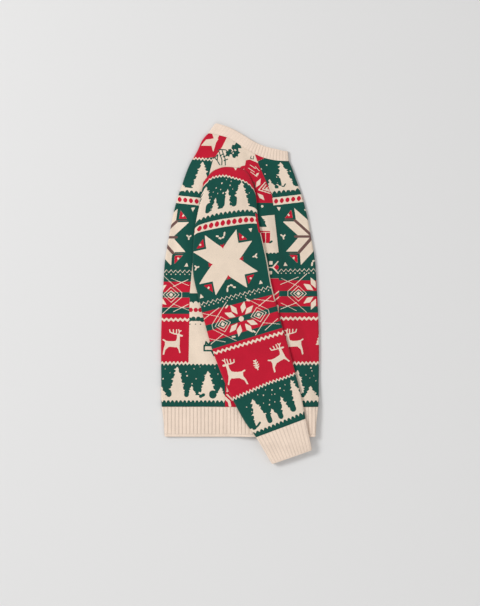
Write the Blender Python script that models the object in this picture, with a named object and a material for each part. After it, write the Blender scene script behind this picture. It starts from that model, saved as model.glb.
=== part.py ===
"""Knitted pullover laid on its side: folded down the centre front and centre back, one sleeve under it, one on top.

Metres, +Z up. +Y points to the neck, +X to the garment's front, and the floor is z = 0.
Heights in the tables are measured up from the hem line; half widths from the centre of the folded body.
Each piece of knit is a wall of even thickness: an outer and an inner grid of points, row by row, closed at its edges.
"""

import bmesh
import bpy
import numpy as np

# ---- driving sizes -------------------------------------------------------------------------
CLOTH = 0.0025  # wall of the patterned knit
RIB = 0.0028  # wall of the ribbing
LOFT = 0.008  # a flattened tube: two walls and the air left between them
SEAM = 0.0003  # gap between two sewn pieces
HEM_Y = -0.3152  # where the hem line lies in the part's frame
HEM_RIB = 0.066  # depth of the ribbed hem
CHEST = 0.559  # height of the line where the armhole cap starts; rows are level up to here
UNDERARM = 0.414  # height of the foot of the armhole
ARMHOLE_X = -0.0265  # middle of the armhole
ARMHOLE_HALF = 0.055  # half the armhole's width
SHOULDER_AT_NECK = -0.015  # where the shoulder seam meets the neck seam
RISE = LOFT + SEAM  # how far the lower sleeve lifts the body
SHELF = 0.015  # the body stays lifted this far past the sleeve under it
DROOP = 0.032  # and comes down to the floor over this much more
CUFF_STEP = 0.010  # the upper cuff stays level this far past the hem
CUFF_DROP = 0.032  # and sinks on to the lower cuff over this much more

# half the folded body's width: (height, half_width)
BODY = np.array([
    (0.000, 0.1665),
    (0.035, 0.1685),
    (0.066, 0.1725),
    (0.128, 0.1738),
    (0.233, 0.1738),
    (0.326, 0.1695),
    (0.392, 0.1650),
    (0.444, 0.1560),
    (0.484, 0.1485),
    (0.524, 0.1385),
    (0.559, 0.1265),
    (0.603, 0.1095),
    (0.629, 0.0945),
    (0.656, 0.0815),
    (0.669, 0.0705),
])

# the neck: (seam_x, seam_height, rim_x, rim_height), from centre back to centre front
NECK = np.array([
    (-0.0705, 0.669, -0.0550, 0.6915),
    (-0.0505, 0.665, -0.0350, 0.6860),
    (-0.0310, 0.660, -0.0155, 0.6780),
    (-0.0130, 0.651, 0.0020, 0.6665),
    (0.0065, 0.638, 0.0200, 0.6550),
    (0.0285, 0.625, 0.0375, 0.6450),
    (0.0485, 0.616, 0.0550, 0.6380),
    (0.0770, 0.609, 0.0790, 0.6320),
    (0.1075, 0.607, 0.1055, 0.6290),
])

# top of the armhole, where the sleeve cap is sewn in: (x, height)
CAP = np.array([
    (-0.0815, 0.559),
    (-0.0725, 0.571),
    (-0.0615, 0.583),
    (-0.0485, 0.590),
    (-0.0330, 0.594),
    (-0.0155, 0.593),
    (0.0000, 0.591),
    (0.0130, 0.585),
    (0.0220, 0.574),
    (0.0285, 0.559),
])

# the side seam: (height, x)
SIDE_SEAM = np.array([(0.000, -0.033), (0.128, -0.033), (UNDERARM, ARMHOLE_X)])

# a sleeve laid flat: (back_x, back_height, front_x, front_height, cap_rise, underarm_drop)
SLEEVE = np.array([
    (-0.0815, 0.559, 0.0285, 0.559, 1.00, 1.00),
    (-0.0900, 0.510, 0.0360, 0.526, 0.72, 0.755),
    (-0.0990, 0.460, 0.0395, 0.482, 0.30, 0.470),
    (-0.1035, 0.411, 0.0485, 0.438, 0.08, 0.210),
    (-0.1025, 0.356, 0.0595, 0.389, 0.00, 0.00),
    (-0.0900, 0.301, 0.0680, 0.339, 0.00, 0.00),
    (-0.0780, 0.253, 0.0790, 0.295, 0.00, 0.00),
    (-0.0640, 0.202, 0.0910, 0.249, 0.00, 0.00),
    (-0.0505, 0.163, 0.1035, 0.209, 0.00, 0.00),
    (-0.0320, 0.117, 0.1135, 0.172, 0.00, 0.00),
    (-0.0155, 0.081, 0.1210, 0.143, 0.00, 0.00),
    (0.0110, 0.033, 0.1330, 0.097, 0.00, 0.00),
    (0.0350, 0.000, 0.1440, 0.041, 0.00, 0.00),
    (0.0700, -0.0600, 0.1585, -0.0290, 0.00, 0.00),
])
CUFF_SEAM = 12  # the row of SLEEVE where the cuff starts

# rows of the armhole edge: shares of the way from the chest line to the neck, and heights below the chest line
CAP_ROWS = (0.05, 0.15, 0.26, 0.34)
ARC_HEIGHT = 0.540
ARMHOLE_HEIGHTS = (0.515, 0.470, 0.440, 0.421)
# the first rows of a sleeve: (station, thickness, how far the wall has turned from upright to flat)
ROLL = ((0.0, 0.0, 0.0), (0.10, 0.0040, 0.45), (0.30, 0.0062, 0.8), (0.60, 0.0075, 1.0))

FRONT_COLUMNS, BACK_COLUMNS, FOLD_POINTS = 11, 7, 3
BODY_ROWS_BELOW = (0.10, 0.15, 0.20, 0.25, 0.30, 0.35, 0.385)
BODY_ROWS_ABOVE = (0.55, 0.75, 1.0)


# ---- outlines --------------------------------------------------------------------------------
def half_width(height):
    return np.interp(height, BODY[:, 0], BODY[:, 1])


def neck_height(x):
    return np.interp(x, NECK[:, 0], NECK[:, 1])


def cap_height(x):
    return np.interp(x, CAP[:, 0], CAP[:, 1])


def row_height(row, x):
    """Rows 0 to 1 are level, hem to chest line; rows 1 to 2 spread from there to the neck seam."""
    x = np.asarray(x, float)
    if row <= 1:
        return np.full_like(x, CHEST * row)
    return CHEST + (row - 1) * (neck_height(x) - CHEST)


def cap_shares():
    """Along the cap seam: x, and the share of the way from chest line to neck seam."""
    x = np.linspace(CAP[0, 0], CAP[-1, 0], 221)
    share = (cap_height(x) - CHEST) / (neck_height(x) - CHEST)
    return x, share, int(np.argmax(share))


def panel_edges(row):
    """Where the back ends and the front starts on a row: side seam, armhole or shoulder seam."""
    if row <= 1:
        height = CHEST * row
        if height <= UNDERARM:
            seam = float(np.interp(height, SIDE_SEAM[:, 0], SIDE_SEAM[:, 1]))
            return seam, seam
        reach = ARMHOLE_HALF * np.sqrt(1 - ((CHEST - height) / (CHEST - UNDERARM)) ** 2)
        return ARMHOLE_X - reach, ARMHOLE_X + reach
    x, share, top = cap_shares()
    if row - 1 < share[top] - 1e-9:
        back = float(np.interp(row - 1, share[: top + 1], x[: top + 1]))
        front = float(np.interp(row - 1, share[top:][::-1], x[top:][::-1]))
        return back, front
    along = (row - 1 - share[top]) / (1 - share[top])
    seam = float(x[top] + along * (SHOULDER_AT_NECK - x[top]))
    return seam, seam


def sleeve_outline():
    """The flat outline of a sleeve and its cuff: over the cap, down the front edge, up the back edge."""
    return np.concatenate([CAP, SLEEVE[1:, 2:4], SLEEVE[:0:-1, 0:2]])


def beyond_sleeve(x, height):
    """How far points lie outside a sleeve's outline, and 0 for those inside it."""
    outline = sleeve_outline()
    x, height = np.atleast_1d(np.asarray(x, float)), np.atleast_1d(np.asarray(height, float))
    far = np.full(x.shape, 9.0)
    inside = np.zeros(x.shape, bool)
    for (ax, ay), (bx, by) in zip(outline, np.roll(outline, -1, axis=0)):
        ex, ey = bx - ax, by - ay
        t = np.clip(((x - ax) * ex + (height - ay) * ey) / (ex * ex + ey * ey), 0, 1)
        far = np.minimum(far, np.hypot(x - ax - t * ex, height - ay - t * ey))
        if ay != by:
            crosses = ((ay > height) != (by > height)) & (x < ax + (height - ay) / ey * ex)
            inside ^= crosses
    return np.where(inside, 0.0, far)


def body_lift(x, height):
    """How high the body's underside lies: lifted over the lower sleeve, on the floor away from it."""
    t = np.clip((SHELF + DROOP - beyond_sleeve(x, height)) / DROOP, 0, 1)
    return RISE * t * t * (3 - 2 * t)


# ---- walls -------------------------------------------------------------------------------------
def wall(name, outer, inner, ring, colour, roughness):
    """A closed solid between two grids of points. ring says that a row joins up with itself."""
    rows, count = outer.shape[:2]
    mesh = bmesh.new()
    out = [[mesh.verts.new(p) for p in line] for line in outer]
    ins = [[mesh.verts.new(p) for p in line] for line in inner]
    steps = range(count) if ring else range(count - 1)
    for r in range(rows - 1):
        for c in steps:
            d = (c + 1) % count
            mesh.faces.new((out[r][c], out[r][d], out[r + 1][d], out[r + 1][c]))
            mesh.faces.new((ins[r][c], ins[r + 1][c], ins[r + 1][d], ins[r][d]))
        if not ring:
            for c in (0, count - 1):
                mesh.faces.new((out[r][c], out[r + 1][c], ins[r + 1][c], ins[r][c]))
    for r in (0, rows - 1):
        for c in steps:
            d = (c + 1) % count
            mesh.faces.new((out[r][c], out[r][d], ins[r][d], ins[r][c]))
    bmesh.ops.recalc_face_normals(mesh, faces=mesh.faces)
    bmesh.ops.triangulate(mesh, faces=mesh.faces)
    data = bpy.data.meshes.new(name)
    mesh.to_mesh(data)
    mesh.free()
    data.shade_smooth()
    data.set_sharp_from_angle(angle=0.7)
    piece = bpy.data.objects.new(name, data)
    piece.data.materials.append(finish(name, colour, roughness))
    GARMENT.objects.link(piece)
    return piece


def finish(name, colour, roughness):
    material = bpy.data.materials.new(name)
    material.use_nodes = True
    shader = material.node_tree.nodes["Principled BSDF"]
    shader.inputs["Base Color"].default_value = (*colour, 1)
    shader.inputs["Roughness"].default_value = roughness
    shader.inputs["Metallic"].default_value = 0
    return material


def fold_angles():
    """Angles round a fold, from the upper layer (90 degrees) to the lower one, without its ends."""
    return np.radians(np.linspace(90, -90, FOLD_POINTS + 2)[1:-1])


def body_section(row, side, columns, thick, lifted=0.0):
    """One row of a body piece, from its seam over the upper layer, round the fold and back below."""
    back, front = panel_edges(row)
    start = front + SEAM / 2 if side > 0 else back - SEAM / 2
    radius = LOFT / 2
    fold = side * half_width(float(row_height(row, side * 1.0)))
    run = np.linspace(start, fold - side * radius, columns)
    angles = fold_angles()
    outer, inner = [], []
    for x, angle in section_stops(run, angles):
        height = float(row_height(row, x)) + lifted
        low = float(body_lift(x, height)[0])
        for path, r in ((outer, radius), (inner, radius - thick)):
            path.append((x + side * r * np.cos(angle), height + HEM_Y, low + radius + r * np.sin(angle)))
    return outer, inner


def section_stops(run, angles):
    """Where a folded section has its points: along the upper layer, round the fold, along the lower."""
    upper = [(x, np.pi / 2) for x in run]
    round_fold = [(run[-1], a) for a in angles]
    lower = [(x, -np.pi / 2) for x in run[::-1]]
    return upper + round_fold + lower


def body_panel(name, side, columns, colour):
    share, top = cap_shares()[1:]
    heights = sorted({HEM_RIB, *BODY_ROWS_BELOW, UNDERARM, *ARMHOLE_HEIGHTS, ARC_HEIGHT, CHEST})
    rows = [h / CHEST for h in heights]
    rows += [1 + s for s in (*CAP_ROWS, float(share[top]), *BODY_ROWS_ABOVE)]
    sections = [body_section(r, side, columns, CLOTH) for r in rows]
    sections[0] = body_section(rows[0], side, columns, CLOTH, SEAM)
    outer, inner = (np.array([s[k] for s in sections]) for k in (0, 1))
    return wall(name, outer, inner, False, colour, 0.9)


def hem_rib(name, side, columns):
    rows = [h / CHEST for h in np.linspace(0, HEM_RIB, 4)]
    sections = [body_section(r, side, columns, RIB) for r in rows]
    outer, inner = (np.array([s[k] for s in sections]) for k in (0, 1))
    return wall(name, outer, inner, False, (0.72, 0.60, 0.50), 0.92)


def neck_rib(name):
    """The neckband: a flattened ring on the neck seam, whose rim leans in above it."""
    radius = LOFT / 2
    back, front = panel_edges(2)
    run = np.concatenate([
        np.linspace(-half_width(0.669) + radius, back - SEAM / 2, BACK_COLUMNS),
        np.linspace(front + SEAM / 2, half_width(0.607) - radius, FRONT_COLUMNS)[1:],
    ])
    angles = fold_angles()
    stops = [(x, np.pi / 2) for x in run]
    stops += [(run[-1], a) for a in angles]
    stops += [(x, -np.pi / 2) for x in run[::-1]]
    stops += [(run[0], np.pi - a) for a in angles[::-1]]
    outer, inner = [], []
    for up in np.linspace(0, 1, 4):
        line_out, line_in = [], []
        for x, angle in stops:
            rim_x = np.interp(x, NECK[:, 0], NECK[:, 2])
            rim_height = np.interp(x, NECK[:, 0], NECK[:, 3])
            at = x + up * (rim_x - x)
            height = neck_height(x) + SEAM + up * (rim_height - neck_height(x) - SEAM)
            for path, r in ((line_out, radius), (line_in, radius - RIB)):
                path.append((at + r * np.cos(angle), height + HEM_Y, radius + r * np.sin(angle)))
        outer.append(line_out)
        inner.append(line_in)
    return wall(name, np.array(outer), np.array(inner), True, (0.76, 0.65, 0.55), 0.92)


# ---- sleeves -----------------------------------------------------------------------------------
def armhole_ring():
    """The armhole's edge as (x, height) points, in a sleeve section's order, with each point's angle.

    The upper layer runs from back to front, then the front fold, the lower layer and the back fold.
    """
    share, top = cap_shares()[1:]
    inner_caps = CAP_ROWS[1:]
    upper = [(1 + s, 0) for s in inner_caps] + [(1 + float(share[top]), 0)]
    upper += [(1 + s, 1) for s in inner_caps[::-1]]
    front = [(1 + CAP_ROWS[0], 1), (1.0, 1), (ARC_HEIGHT / CHEST, 1)]
    lower = [(h / CHEST, 1) for h in ARMHOLE_HEIGHTS] + [(UNDERARM / CHEST, 1)]
    lower += [(h / CHEST, 0) for h in ARMHOLE_HEIGHTS[::-1]]
    back = [(ARC_HEIGHT / CHEST, 0), (1.0, 0), (1 + CAP_ROWS[0], 0)]
    places = []
    for row, edge in upper + front + lower + back:
        x = panel_edges(row)[edge]
        places.append((x, float(row_height(row, x))))
    angles = fold_angles()
    turned = np.concatenate([
        np.full(len(upper), np.pi / 2),
        angles,
        np.full(len(lower), -np.pi / 2),
        np.pi - angles[::-1],
    ])
    return np.array(places), turned, len(upper), len(lower)


def inward(places):
    """Unit directions in the plane from each point of a closed outline towards its inside."""
    along = np.roll(places, -1, axis=0) - np.roll(places, 1, axis=0)
    normal = np.stack([along[:, 1], -along[:, 0]], axis=1)
    normal /= np.linalg.norm(normal, axis=1, keepdims=True)
    flip = np.sign(((places.mean(axis=0) - places) * normal).sum(axis=1))
    return normal * flip[:, None]


def sleeve_line(station):
    """A sleeve's back and front edge points at a station, and how much of cap and underarm is left."""
    at = [float(np.interp(station, np.arange(len(SLEEVE)), SLEEVE[:, k])) for k in range(6)]
    return np.array(at[0:2]), np.array(at[2:4]), at[4], at[5]


def sleeve_section(station, thickness, turned, side, thick):
    """One ring of a sleeve. side is 1 for the sleeve on top of the body and -1 for the one below."""
    places, angles, n_upper, n_lower = armhole_ring()
    normals = inward(places)
    back, front, cap, drop = sleeve_line(station)
    first_back, first_front, _, _ = sleeve_line(0)
    width = np.linalg.norm(front - back)
    radius = max(thickness, 1e-4) / 2
    edge = radius / width
    even = min(1.0, station / 3)
    share = (places[:, 0] - first_back[0]) / (first_front[0] - first_back[0])
    offset = places[:, 1] - first_back[1]
    flat_share = np.concatenate([
        np.linspace(edge, 1 - edge, n_upper),
        1 - edge + edge * np.cos(angles[n_upper:n_upper + FOLD_POINTS]),
        np.linspace(1 - edge, edge, n_lower),
        edge + edge * np.cos(angles[-FOLD_POINTS:]),
    ])
    across = share + even * (flat_share - share)
    left = np.where(np.sin(angles) > 0.3, cap, drop)
    place = back + across[:, None] * (front - back)
    place[:, 1] += offset * left
    if thickness == 0:
        place = places + SEAM * normals
    sines, cosines = np.sin(angles), np.cos(angles)
    into = np.zeros((len(places), 3))
    into[:, :2] = (1 - turned) * normals
    direction = (front - back) / width
    into[:, :2] -= turned * cosines[:, None] * direction
    into[:, 2] = -turned * sines
    into /= np.linalg.norm(into, axis=1, keepdims=True)
    up = SEAM + radius * (1 + sines) if thickness else np.zeros(len(places))
    inner = place + thick * into[:, :2]
    inner_up = up + thick * into[:, 2]
    return (seat(place, up, side), seat(inner, inner_up, side))


def seat(place, up, side):
    """Puts a ring's points on the body: above its upper face, or below its lower face."""
    low = body_lift(place[:, 0], place[:, 1])
    past = np.clip((-place[:, 1] - CUFF_STEP) / CUFF_DROP, 0, 1)
    held = LOFT * (1 - past * past * (3 - 2 * past)) if side > 0 else 0
    return np.column_stack([place[:, 0], place[:, 1] + HEM_Y, low + held + side * up])


def sleeve(name, side, colour):
    outer, inner = [], []
    first = sleeve_section(*ROLL[0], side, CLOTH)
    for grid, ring in ((outer, first[0]), (inner, first[1])):
        sunk = ring.copy()
        sunk[:, 2] -= side * CLOTH
        grid.append(sunk)
    rows = list(ROLL) + [(float(k), LOFT, 1.0) for k in range(1, CUFF_SEAM + 1)]
    for station, thickness, turned in rows:
        a, b = sleeve_section(station, thickness, turned, side, CLOTH)
        outer.append(a)
        inner.append(b)
    return wall(name, np.array(outer), np.array(inner), True, colour, 0.9)


def cuff(name, side):
    """A ribbed cuff: the sleeve's flat section carried on to its end."""
    length = np.linalg.norm(sleeve_line(CUFF_SEAM + 1)[0] - sleeve_line(CUFF_SEAM)[0])
    start = CUFF_SEAM + SEAM / length * 1.2
    sections = [
        sleeve_section(k, LOFT, 1.0, side, RIB) for k in np.linspace(start, CUFF_SEAM + 1, 6)
    ]
    outer, inner = (np.array([s[k] for s in sections]) for k in (0, 1))
    return wall(name, outer, inner, True, (0.76, 0.65, 0.55), 0.92)


for old in list(bpy.data.objects):
    bpy.data.objects.remove(old)
GARMENT = bpy.data.collections.new("christmas_sweater")
bpy.context.scene.collection.children.link(GARMENT)

GREEN, RED = (0.010, 0.065, 0.050), (0.50, 0.018, 0.035)
body_panel("front_panel", 1, FRONT_COLUMNS, GREEN)
body_panel("back_panel", -1, BACK_COLUMNS, GREEN)
hem_rib("hem_rib_front", 1, FRONT_COLUMNS)
hem_rib("hem_rib_back", -1, BACK_COLUMNS)
neck_rib("neck_rib")
sleeve("sleeve_right", 1, RED)
sleeve("sleeve_left", -1, RED)
cuff("cuff_right", 1)
cuff("cuff_left", -1)
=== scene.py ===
"""Looks of a knitted christmas pullover that lies on its side, folded at its centre front and centre back.

Metres, +Z up, +Y to the neck, +X to the garment's front. Colour work is charted in stitches and rows, as a
knitter would: the body's rows are counted up from the hem edge, the sleeve's up from its cuff seam.
"""

import logging
import math
from collections.abc import Callable, Sequence
from dataclasses import dataclass
from enum import Enum

import bpy
import numpy as np
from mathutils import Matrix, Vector


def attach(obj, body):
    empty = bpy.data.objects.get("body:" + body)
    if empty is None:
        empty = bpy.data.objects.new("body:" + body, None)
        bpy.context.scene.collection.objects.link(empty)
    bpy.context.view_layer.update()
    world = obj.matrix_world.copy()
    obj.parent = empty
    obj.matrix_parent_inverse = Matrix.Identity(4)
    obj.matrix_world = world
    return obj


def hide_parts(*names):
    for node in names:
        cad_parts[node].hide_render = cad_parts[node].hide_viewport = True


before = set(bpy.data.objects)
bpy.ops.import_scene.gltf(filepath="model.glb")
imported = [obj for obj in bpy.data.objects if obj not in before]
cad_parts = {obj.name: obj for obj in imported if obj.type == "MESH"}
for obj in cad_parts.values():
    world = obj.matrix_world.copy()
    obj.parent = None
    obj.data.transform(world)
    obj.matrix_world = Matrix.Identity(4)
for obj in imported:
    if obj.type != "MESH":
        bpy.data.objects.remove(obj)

LOG = logging.getLogger("pullover")

# ---- sizes shared by the pieces ------------------------------------------------------------------
STITCH = 0.0022  # width of a stitch and height of a row
CLOTH = 0.0025  # wall of the patterned knit
RIB = 0.0028  # wall of the ribbing
EDGE_ROLL = 0.0012  # how far an open rib edge is drawn in
LOFT = 0.008  # height of two layers with their fold
ROUND = LOFT / 2  # radius of a fold
SEAM = 0.0003  # gap between two pieces sewn together
HEM_Y = -0.3152  # y of the hem's edge
HEM_RIB = 0.066  # depth of the ribbed hem
NECK_RIB = 0.025  # depth of the neckband
CHEST = 0.559  # height of the chest line, where the armhole is widest
UNDERARM = 0.414  # height of the armhole's lowest point
ARMHOLE_X = -0.0265  # x of that point
ARMHOLE_HALF = 0.055  # half the armhole's width at the chest line
FOLDS_MEET = 0.5275  # height where a sleeve's folds reach the armhole
SHOULDER_AT_NECK = -0.015  # x where the shoulder seam ends at the neck
RISE = LOFT + SEAM  # how far the sleeve below lifts the body
SHELF = 0.015  # how far beyond that sleeve the body stays lifted
DROOP = 0.032  # width of the slope from there to the floor
CUFF_STEP = 0.010  # how far past the hem's edge the upper cuff starts to come down
CUFF_DROP = 0.032  # length over which it comes down
CUFF_SEAM = 12  # station of the seam between sleeve and cuff
INNER_STEP = 4  # the wall's inner face has a point for every fourth one outside

# half the folded body's width: (height above the hem, half width)
BODY = np.array([
    (0.000, 0.1665), (0.035, 0.1685), (0.066, 0.1725), (0.128, 0.1738), (0.233, 0.1738),
    (0.326, 0.1695), (0.392, 0.1650), (0.444, 0.1560), (0.484, 0.1485), (0.524, 0.1385),
    (0.559, 0.1265), (0.603, 0.1095), (0.629, 0.0945), (0.656, 0.0815), (0.669, 0.0705),
])
# the neck: (seam x, seam height, rim x, rim height), centre back to centre front
NECK = np.array([
    (-0.0705, 0.669, -0.0550, 0.6915), (-0.0505, 0.665, -0.0350, 0.6860),
    (-0.0310, 0.660, -0.0155, 0.6780), (-0.0130, 0.651, 0.0020, 0.6665),
    (0.0065, 0.638, 0.0200, 0.6550), (0.0285, 0.625, 0.0375, 0.6450),
    (0.0485, 0.616, 0.0550, 0.6380), (0.0770, 0.609, 0.0790, 0.6320),
    (0.1075, 0.607, 0.1055, 0.6290),
])
# the armhole's top, where the sleeve cap is sewn in: (x, height)
CAP = np.array([
    (-0.0815, 0.559), (-0.0725, 0.571), (-0.0615, 0.583), (-0.0485, 0.590), (-0.0330, 0.594),
    (-0.0155, 0.593), (0.0000, 0.591), (0.0130, 0.585), (0.0220, 0.574), (0.0285, 0.559),
])
SIDE_SEAM = np.array([(0.000, -0.033), (0.128, -0.033), (UNDERARM, ARMHOLE_X)])
# a sleeve laid flat: (back x, back height, front x, front height, cap rise, underarm drop)
SLEEVE = np.array([
    (-0.0815, 0.559, 0.0285, 0.559, 1.00, 1.00), (-0.0900, 0.510, 0.0360, 0.526, 0.72, 0.755),
    (-0.0990, 0.460, 0.0395, 0.482, 0.30, 0.470), (-0.1035, 0.411, 0.0485, 0.438, 0.08, 0.210),
    (-0.1025, 0.356, 0.0595, 0.389, 0.00, 0.00), (-0.0900, 0.301, 0.0680, 0.339, 0.00, 0.00),
    (-0.0780, 0.253, 0.0790, 0.295, 0.00, 0.00), (-0.0640, 0.202, 0.0910, 0.249, 0.00, 0.00),
    (-0.0505, 0.163, 0.1035, 0.209, 0.00, 0.00), (-0.0320, 0.117, 0.1135, 0.172, 0.00, 0.00),
    (-0.0155, 0.081, 0.1210, 0.143, 0.00, 0.00), (0.0110, 0.033, 0.1330, 0.097, 0.00, 0.00),
    (0.0350, 0.000, 0.1440, 0.041, 0.00, 0.00), (0.0700, -0.0600, 0.1585, -0.0290, 0.00, 0.00),
])


# ---- curves and outlines -------------------------------------------------------------------------
def curve(at: np.ndarray, knots: np.ndarray, values: np.ndarray) -> np.ndarray:
    """A smooth curve through a table: cubic pieces whose slope at a knot is that of its two neighbours.

    Args:
        at: where to read the curve; past the ends it keeps the end values.
        knots: the table's rising first column.
        values: the column to read.

    Returns:
        The curve's values, in at's shape.
    """
    at = np.clip(np.asarray(at, float), knots[0], knots[-1])
    slopes = np.gradient(values, knots)
    k = np.clip(np.searchsorted(knots, at, side="right") - 1, 0, len(knots) - 2)
    gap = knots[k + 1] - knots[k]
    t = (at - knots[k]) / gap
    start, end = values[k], values[k + 1]
    lead, tail = slopes[k] * gap, slopes[k + 1] * gap
    return (
        start * (1 + 2 * t) * (1 - t) ** 2 + lead * t * (1 - t) ** 2
        + end * t * t * (3 - 2 * t) + tail * t * t * (t - 1)
    )


def ease(t: np.ndarray) -> np.ndarray:
    """A soft step from 0 to 1: 3t^2 - 2t^3 of t held between 0 and 1."""
    t = np.clip(t, 0, 1)
    return t * t * (3 - 2 * t)


def half_width(height: np.ndarray) -> np.ndarray:
    """Half the folded body's width at a height above the hem."""
    return curve(height, BODY[:, 0], BODY[:, 1])


def neck_height(x: np.ndarray) -> np.ndarray:
    """Height of the neck seam at x."""
    return curve(x, NECK[:, 0], NECK[:, 1])


def cap_height(x: np.ndarray) -> np.ndarray:
    """Height of the cap seam at x."""
    return curve(x, CAP[:, 0], CAP[:, 1])


def armhole_reach(height: np.ndarray) -> np.ndarray:
    """Half the armhole's width at a height on its lower part, which is half an ellipse."""
    drop = np.clip((CHEST - height) / (CHEST - UNDERARM), 0, 1)
    return ARMHOLE_HALF * np.sqrt(1 - drop**2)


def row_height(row: np.ndarray, x: np.ndarray) -> np.ndarray:
    """Rows 0 to 1 are level, from hem to chest line; rows 1 to 2 spread from there to the neck seam."""
    above = CHEST + (row - 1) * (neck_height(x) - CHEST)
    return np.where(row <= 1, CHEST * row + 0 * x, above)


def cap_shares() -> tuple[np.ndarray, np.ndarray, int]:
    """The cap seam as shares of the way from chest line to neck seam.

    Returns:
        x along the seam, the share at each, and the index of the highest.
    """
    x = np.linspace(CAP[0, 0], CAP[-1, 0], 881)
    share = (cap_height(x) - CHEST) / (neck_height(x) - CHEST)
    return x, share, int(np.argmax(share))


def panel_edges(rows: np.ndarray) -> tuple[np.ndarray, np.ndarray]:
    """Where the back ends and the front starts on each row: side seam, armhole edge or shoulder seam.

    Above the chest line the armhole's edge is the cap seam.

    Args:
        rows: row numbers from 0 to 2.

    Returns:
        x of the back's edge and x of the front's edge.
    """
    height = CHEST * rows
    seam = np.interp(height, SIDE_SEAM[:, 0], SIDE_SEAM[:, 1])
    reach = armhole_reach(height)
    x, share, top = cap_shares()
    up = rows - 1
    back = np.interp(up, share[: top + 1], x[: top + 1])
    front = np.interp(up, share[top:][::-1], x[top:][::-1])
    along = (up - share[top]) / (1 - share[top])
    shoulder = x[top] + along * (SHOULDER_AT_NECK - x[top])
    places = [height <= UNDERARM, rows <= 1, up < share[top]]
    return (
        np.select(places, [seam, ARMHOLE_X - reach, back], shoulder),
        np.select(places, [seam, ARMHOLE_X + reach, front], shoulder),
    )


def beyond_sleeve(x: np.ndarray, height: np.ndarray) -> np.ndarray:
    """How far points lie from a sleeve's flat outline: positive outside it, negative inside."""
    outline = np.concatenate([CAP, SLEEVE[1:, 2:4], SLEEVE[:0:-1, 0:2]])
    return polygon(outline).distance(x, height)


def body_lift(x: np.ndarray, height: np.ndarray) -> np.ndarray:
    """How high the body's underside lies: lifted over the lower sleeve, on the floor away from it."""
    return RISE * ease((SHELF + DROOP - np.maximum(beyond_sleeve(x, height), 0)) / DROOP)


def loop_angles(upper: int, lower: int, around: int) -> np.ndarray:
    """Angles of a flat loop's points: upper layer, fold, lower layer and the other fold.

    Args:
        upper: points in the upper layer.
        lower: points in the lower layer.
        around: points in each fold.

    Returns:
        The angles in radians, in order round the loop.
    """
    bend = np.radians(np.linspace(90, -90, around + 2)[1:-1])
    level = math.pi / 2
    return np.concatenate([np.full(upper, level), bend, np.full(lower, -level), math.pi - bend[::-1]])


def over_fold(angle: np.ndarray) -> np.ndarray:
    """How far past the flat a fold's point lies along the cloth: above 0 to the right, below to the left."""
    return ROUND * (math.pi / 2 - np.abs(np.arcsin(np.sin(angle)))) * np.sign(np.cos(angle))


# ---- knitting charts -----------------------------------------------------------------------------
class Yarn(Enum):
    """The four yarns of the colour work."""

    GREEN = "fir green"
    RED = "berry red"
    CREAM = "cream"
    TAUPE = "taupe"


GREEN, RED, CREAM, TAUPE = Yarn
Points = Sequence[tuple[float, float]]
Distance = Callable[[np.ndarray, np.ndarray], np.ndarray]
FAR = 1e3  # farther than any mark of a chart, in stitches
UNWORKED = 9.0  # a chart field's value before anything is knitted there
TOP = 400.0  # a row above every piece
# which of a chart's fields each yarn lowers, and which it raises
LOWERS = {GREEN: (), RED: ("ground",), CREAM: ("ground", "cream"), TAUPE: ("ground", "taupe")}
RAISES = {GREEN: ("ground", "taupe"), RED: ("taupe", "cream"), CREAM: ("taupe",), TAUPE: ()}


@dataclass(frozen=True)
class Motif:
    """A drawn shape: its signed distance, negative inside, and how far it reaches from its own middle."""

    distance: Distance
    reach: float

    def __or__(self, other: "Motif") -> "Motif":
        """Both shapes together: the lesser of the two distances.

        Args:
            other: the shape to join.

        Returns:
            The joined shape.
        """
        return Motif(
            lambda x, y: np.minimum(self.distance(x, y), other.distance(x, y)),
            max(self.reach, other.reach),
        )


def apart(x: np.ndarray, y: np.ndarray, start: Sequence[float], end: Sequence[float]) -> np.ndarray:
    """Distance from points to the straight piece between two places, which may be one and the same.

    Args:
        x: the points' x.
        y: the points' y.
        start: one end of the straight piece.
        end: its other end.

    Returns:
        The distance at each point.
    """
    (ax, ay), (bx, by) = start, end
    ex, ey = bx - ax, by - ay
    t = np.clip(((x - ax) * ex + (y - ay) * ey) / max(ex * ex + ey * ey, 1e-12), 0, 1)
    return np.hypot(x - ax - t * ex, y - ay - t * ey)


def polygon(points: Points | np.ndarray) -> Motif:
    """A filled polygon: the least distance to its sides, negative where the crossings are odd.

    Args:
        points: its corners in order.

    Returns:
        The motif.
    """
    corners = np.array(points, float)

    def distance(x: np.ndarray, y: np.ndarray) -> np.ndarray:
        """Distance to the nearest side, below 0 inside.

        Args:
            x: the points' x.
            y: the points' y.

        Returns:
            The distance at each point.
        """
        far = np.full(x.shape, FAR)
        inside = np.zeros(x.shape, bool)
        for start, end in zip(corners, np.roll(corners, -1, axis=0)):
            far = np.minimum(far, apart(x, y, start, end))
            (ax, ay), (bx, by) = start, end
            if ay != by:
                inside ^= ((ay > y) != (by > y)) & (x < ax + (y - ay) / (by - ay) * (bx - ax))
        return np.where(inside, -far, far)

    return Motif(distance, float(np.abs(corners).max() * 1.5) + 2)


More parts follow.
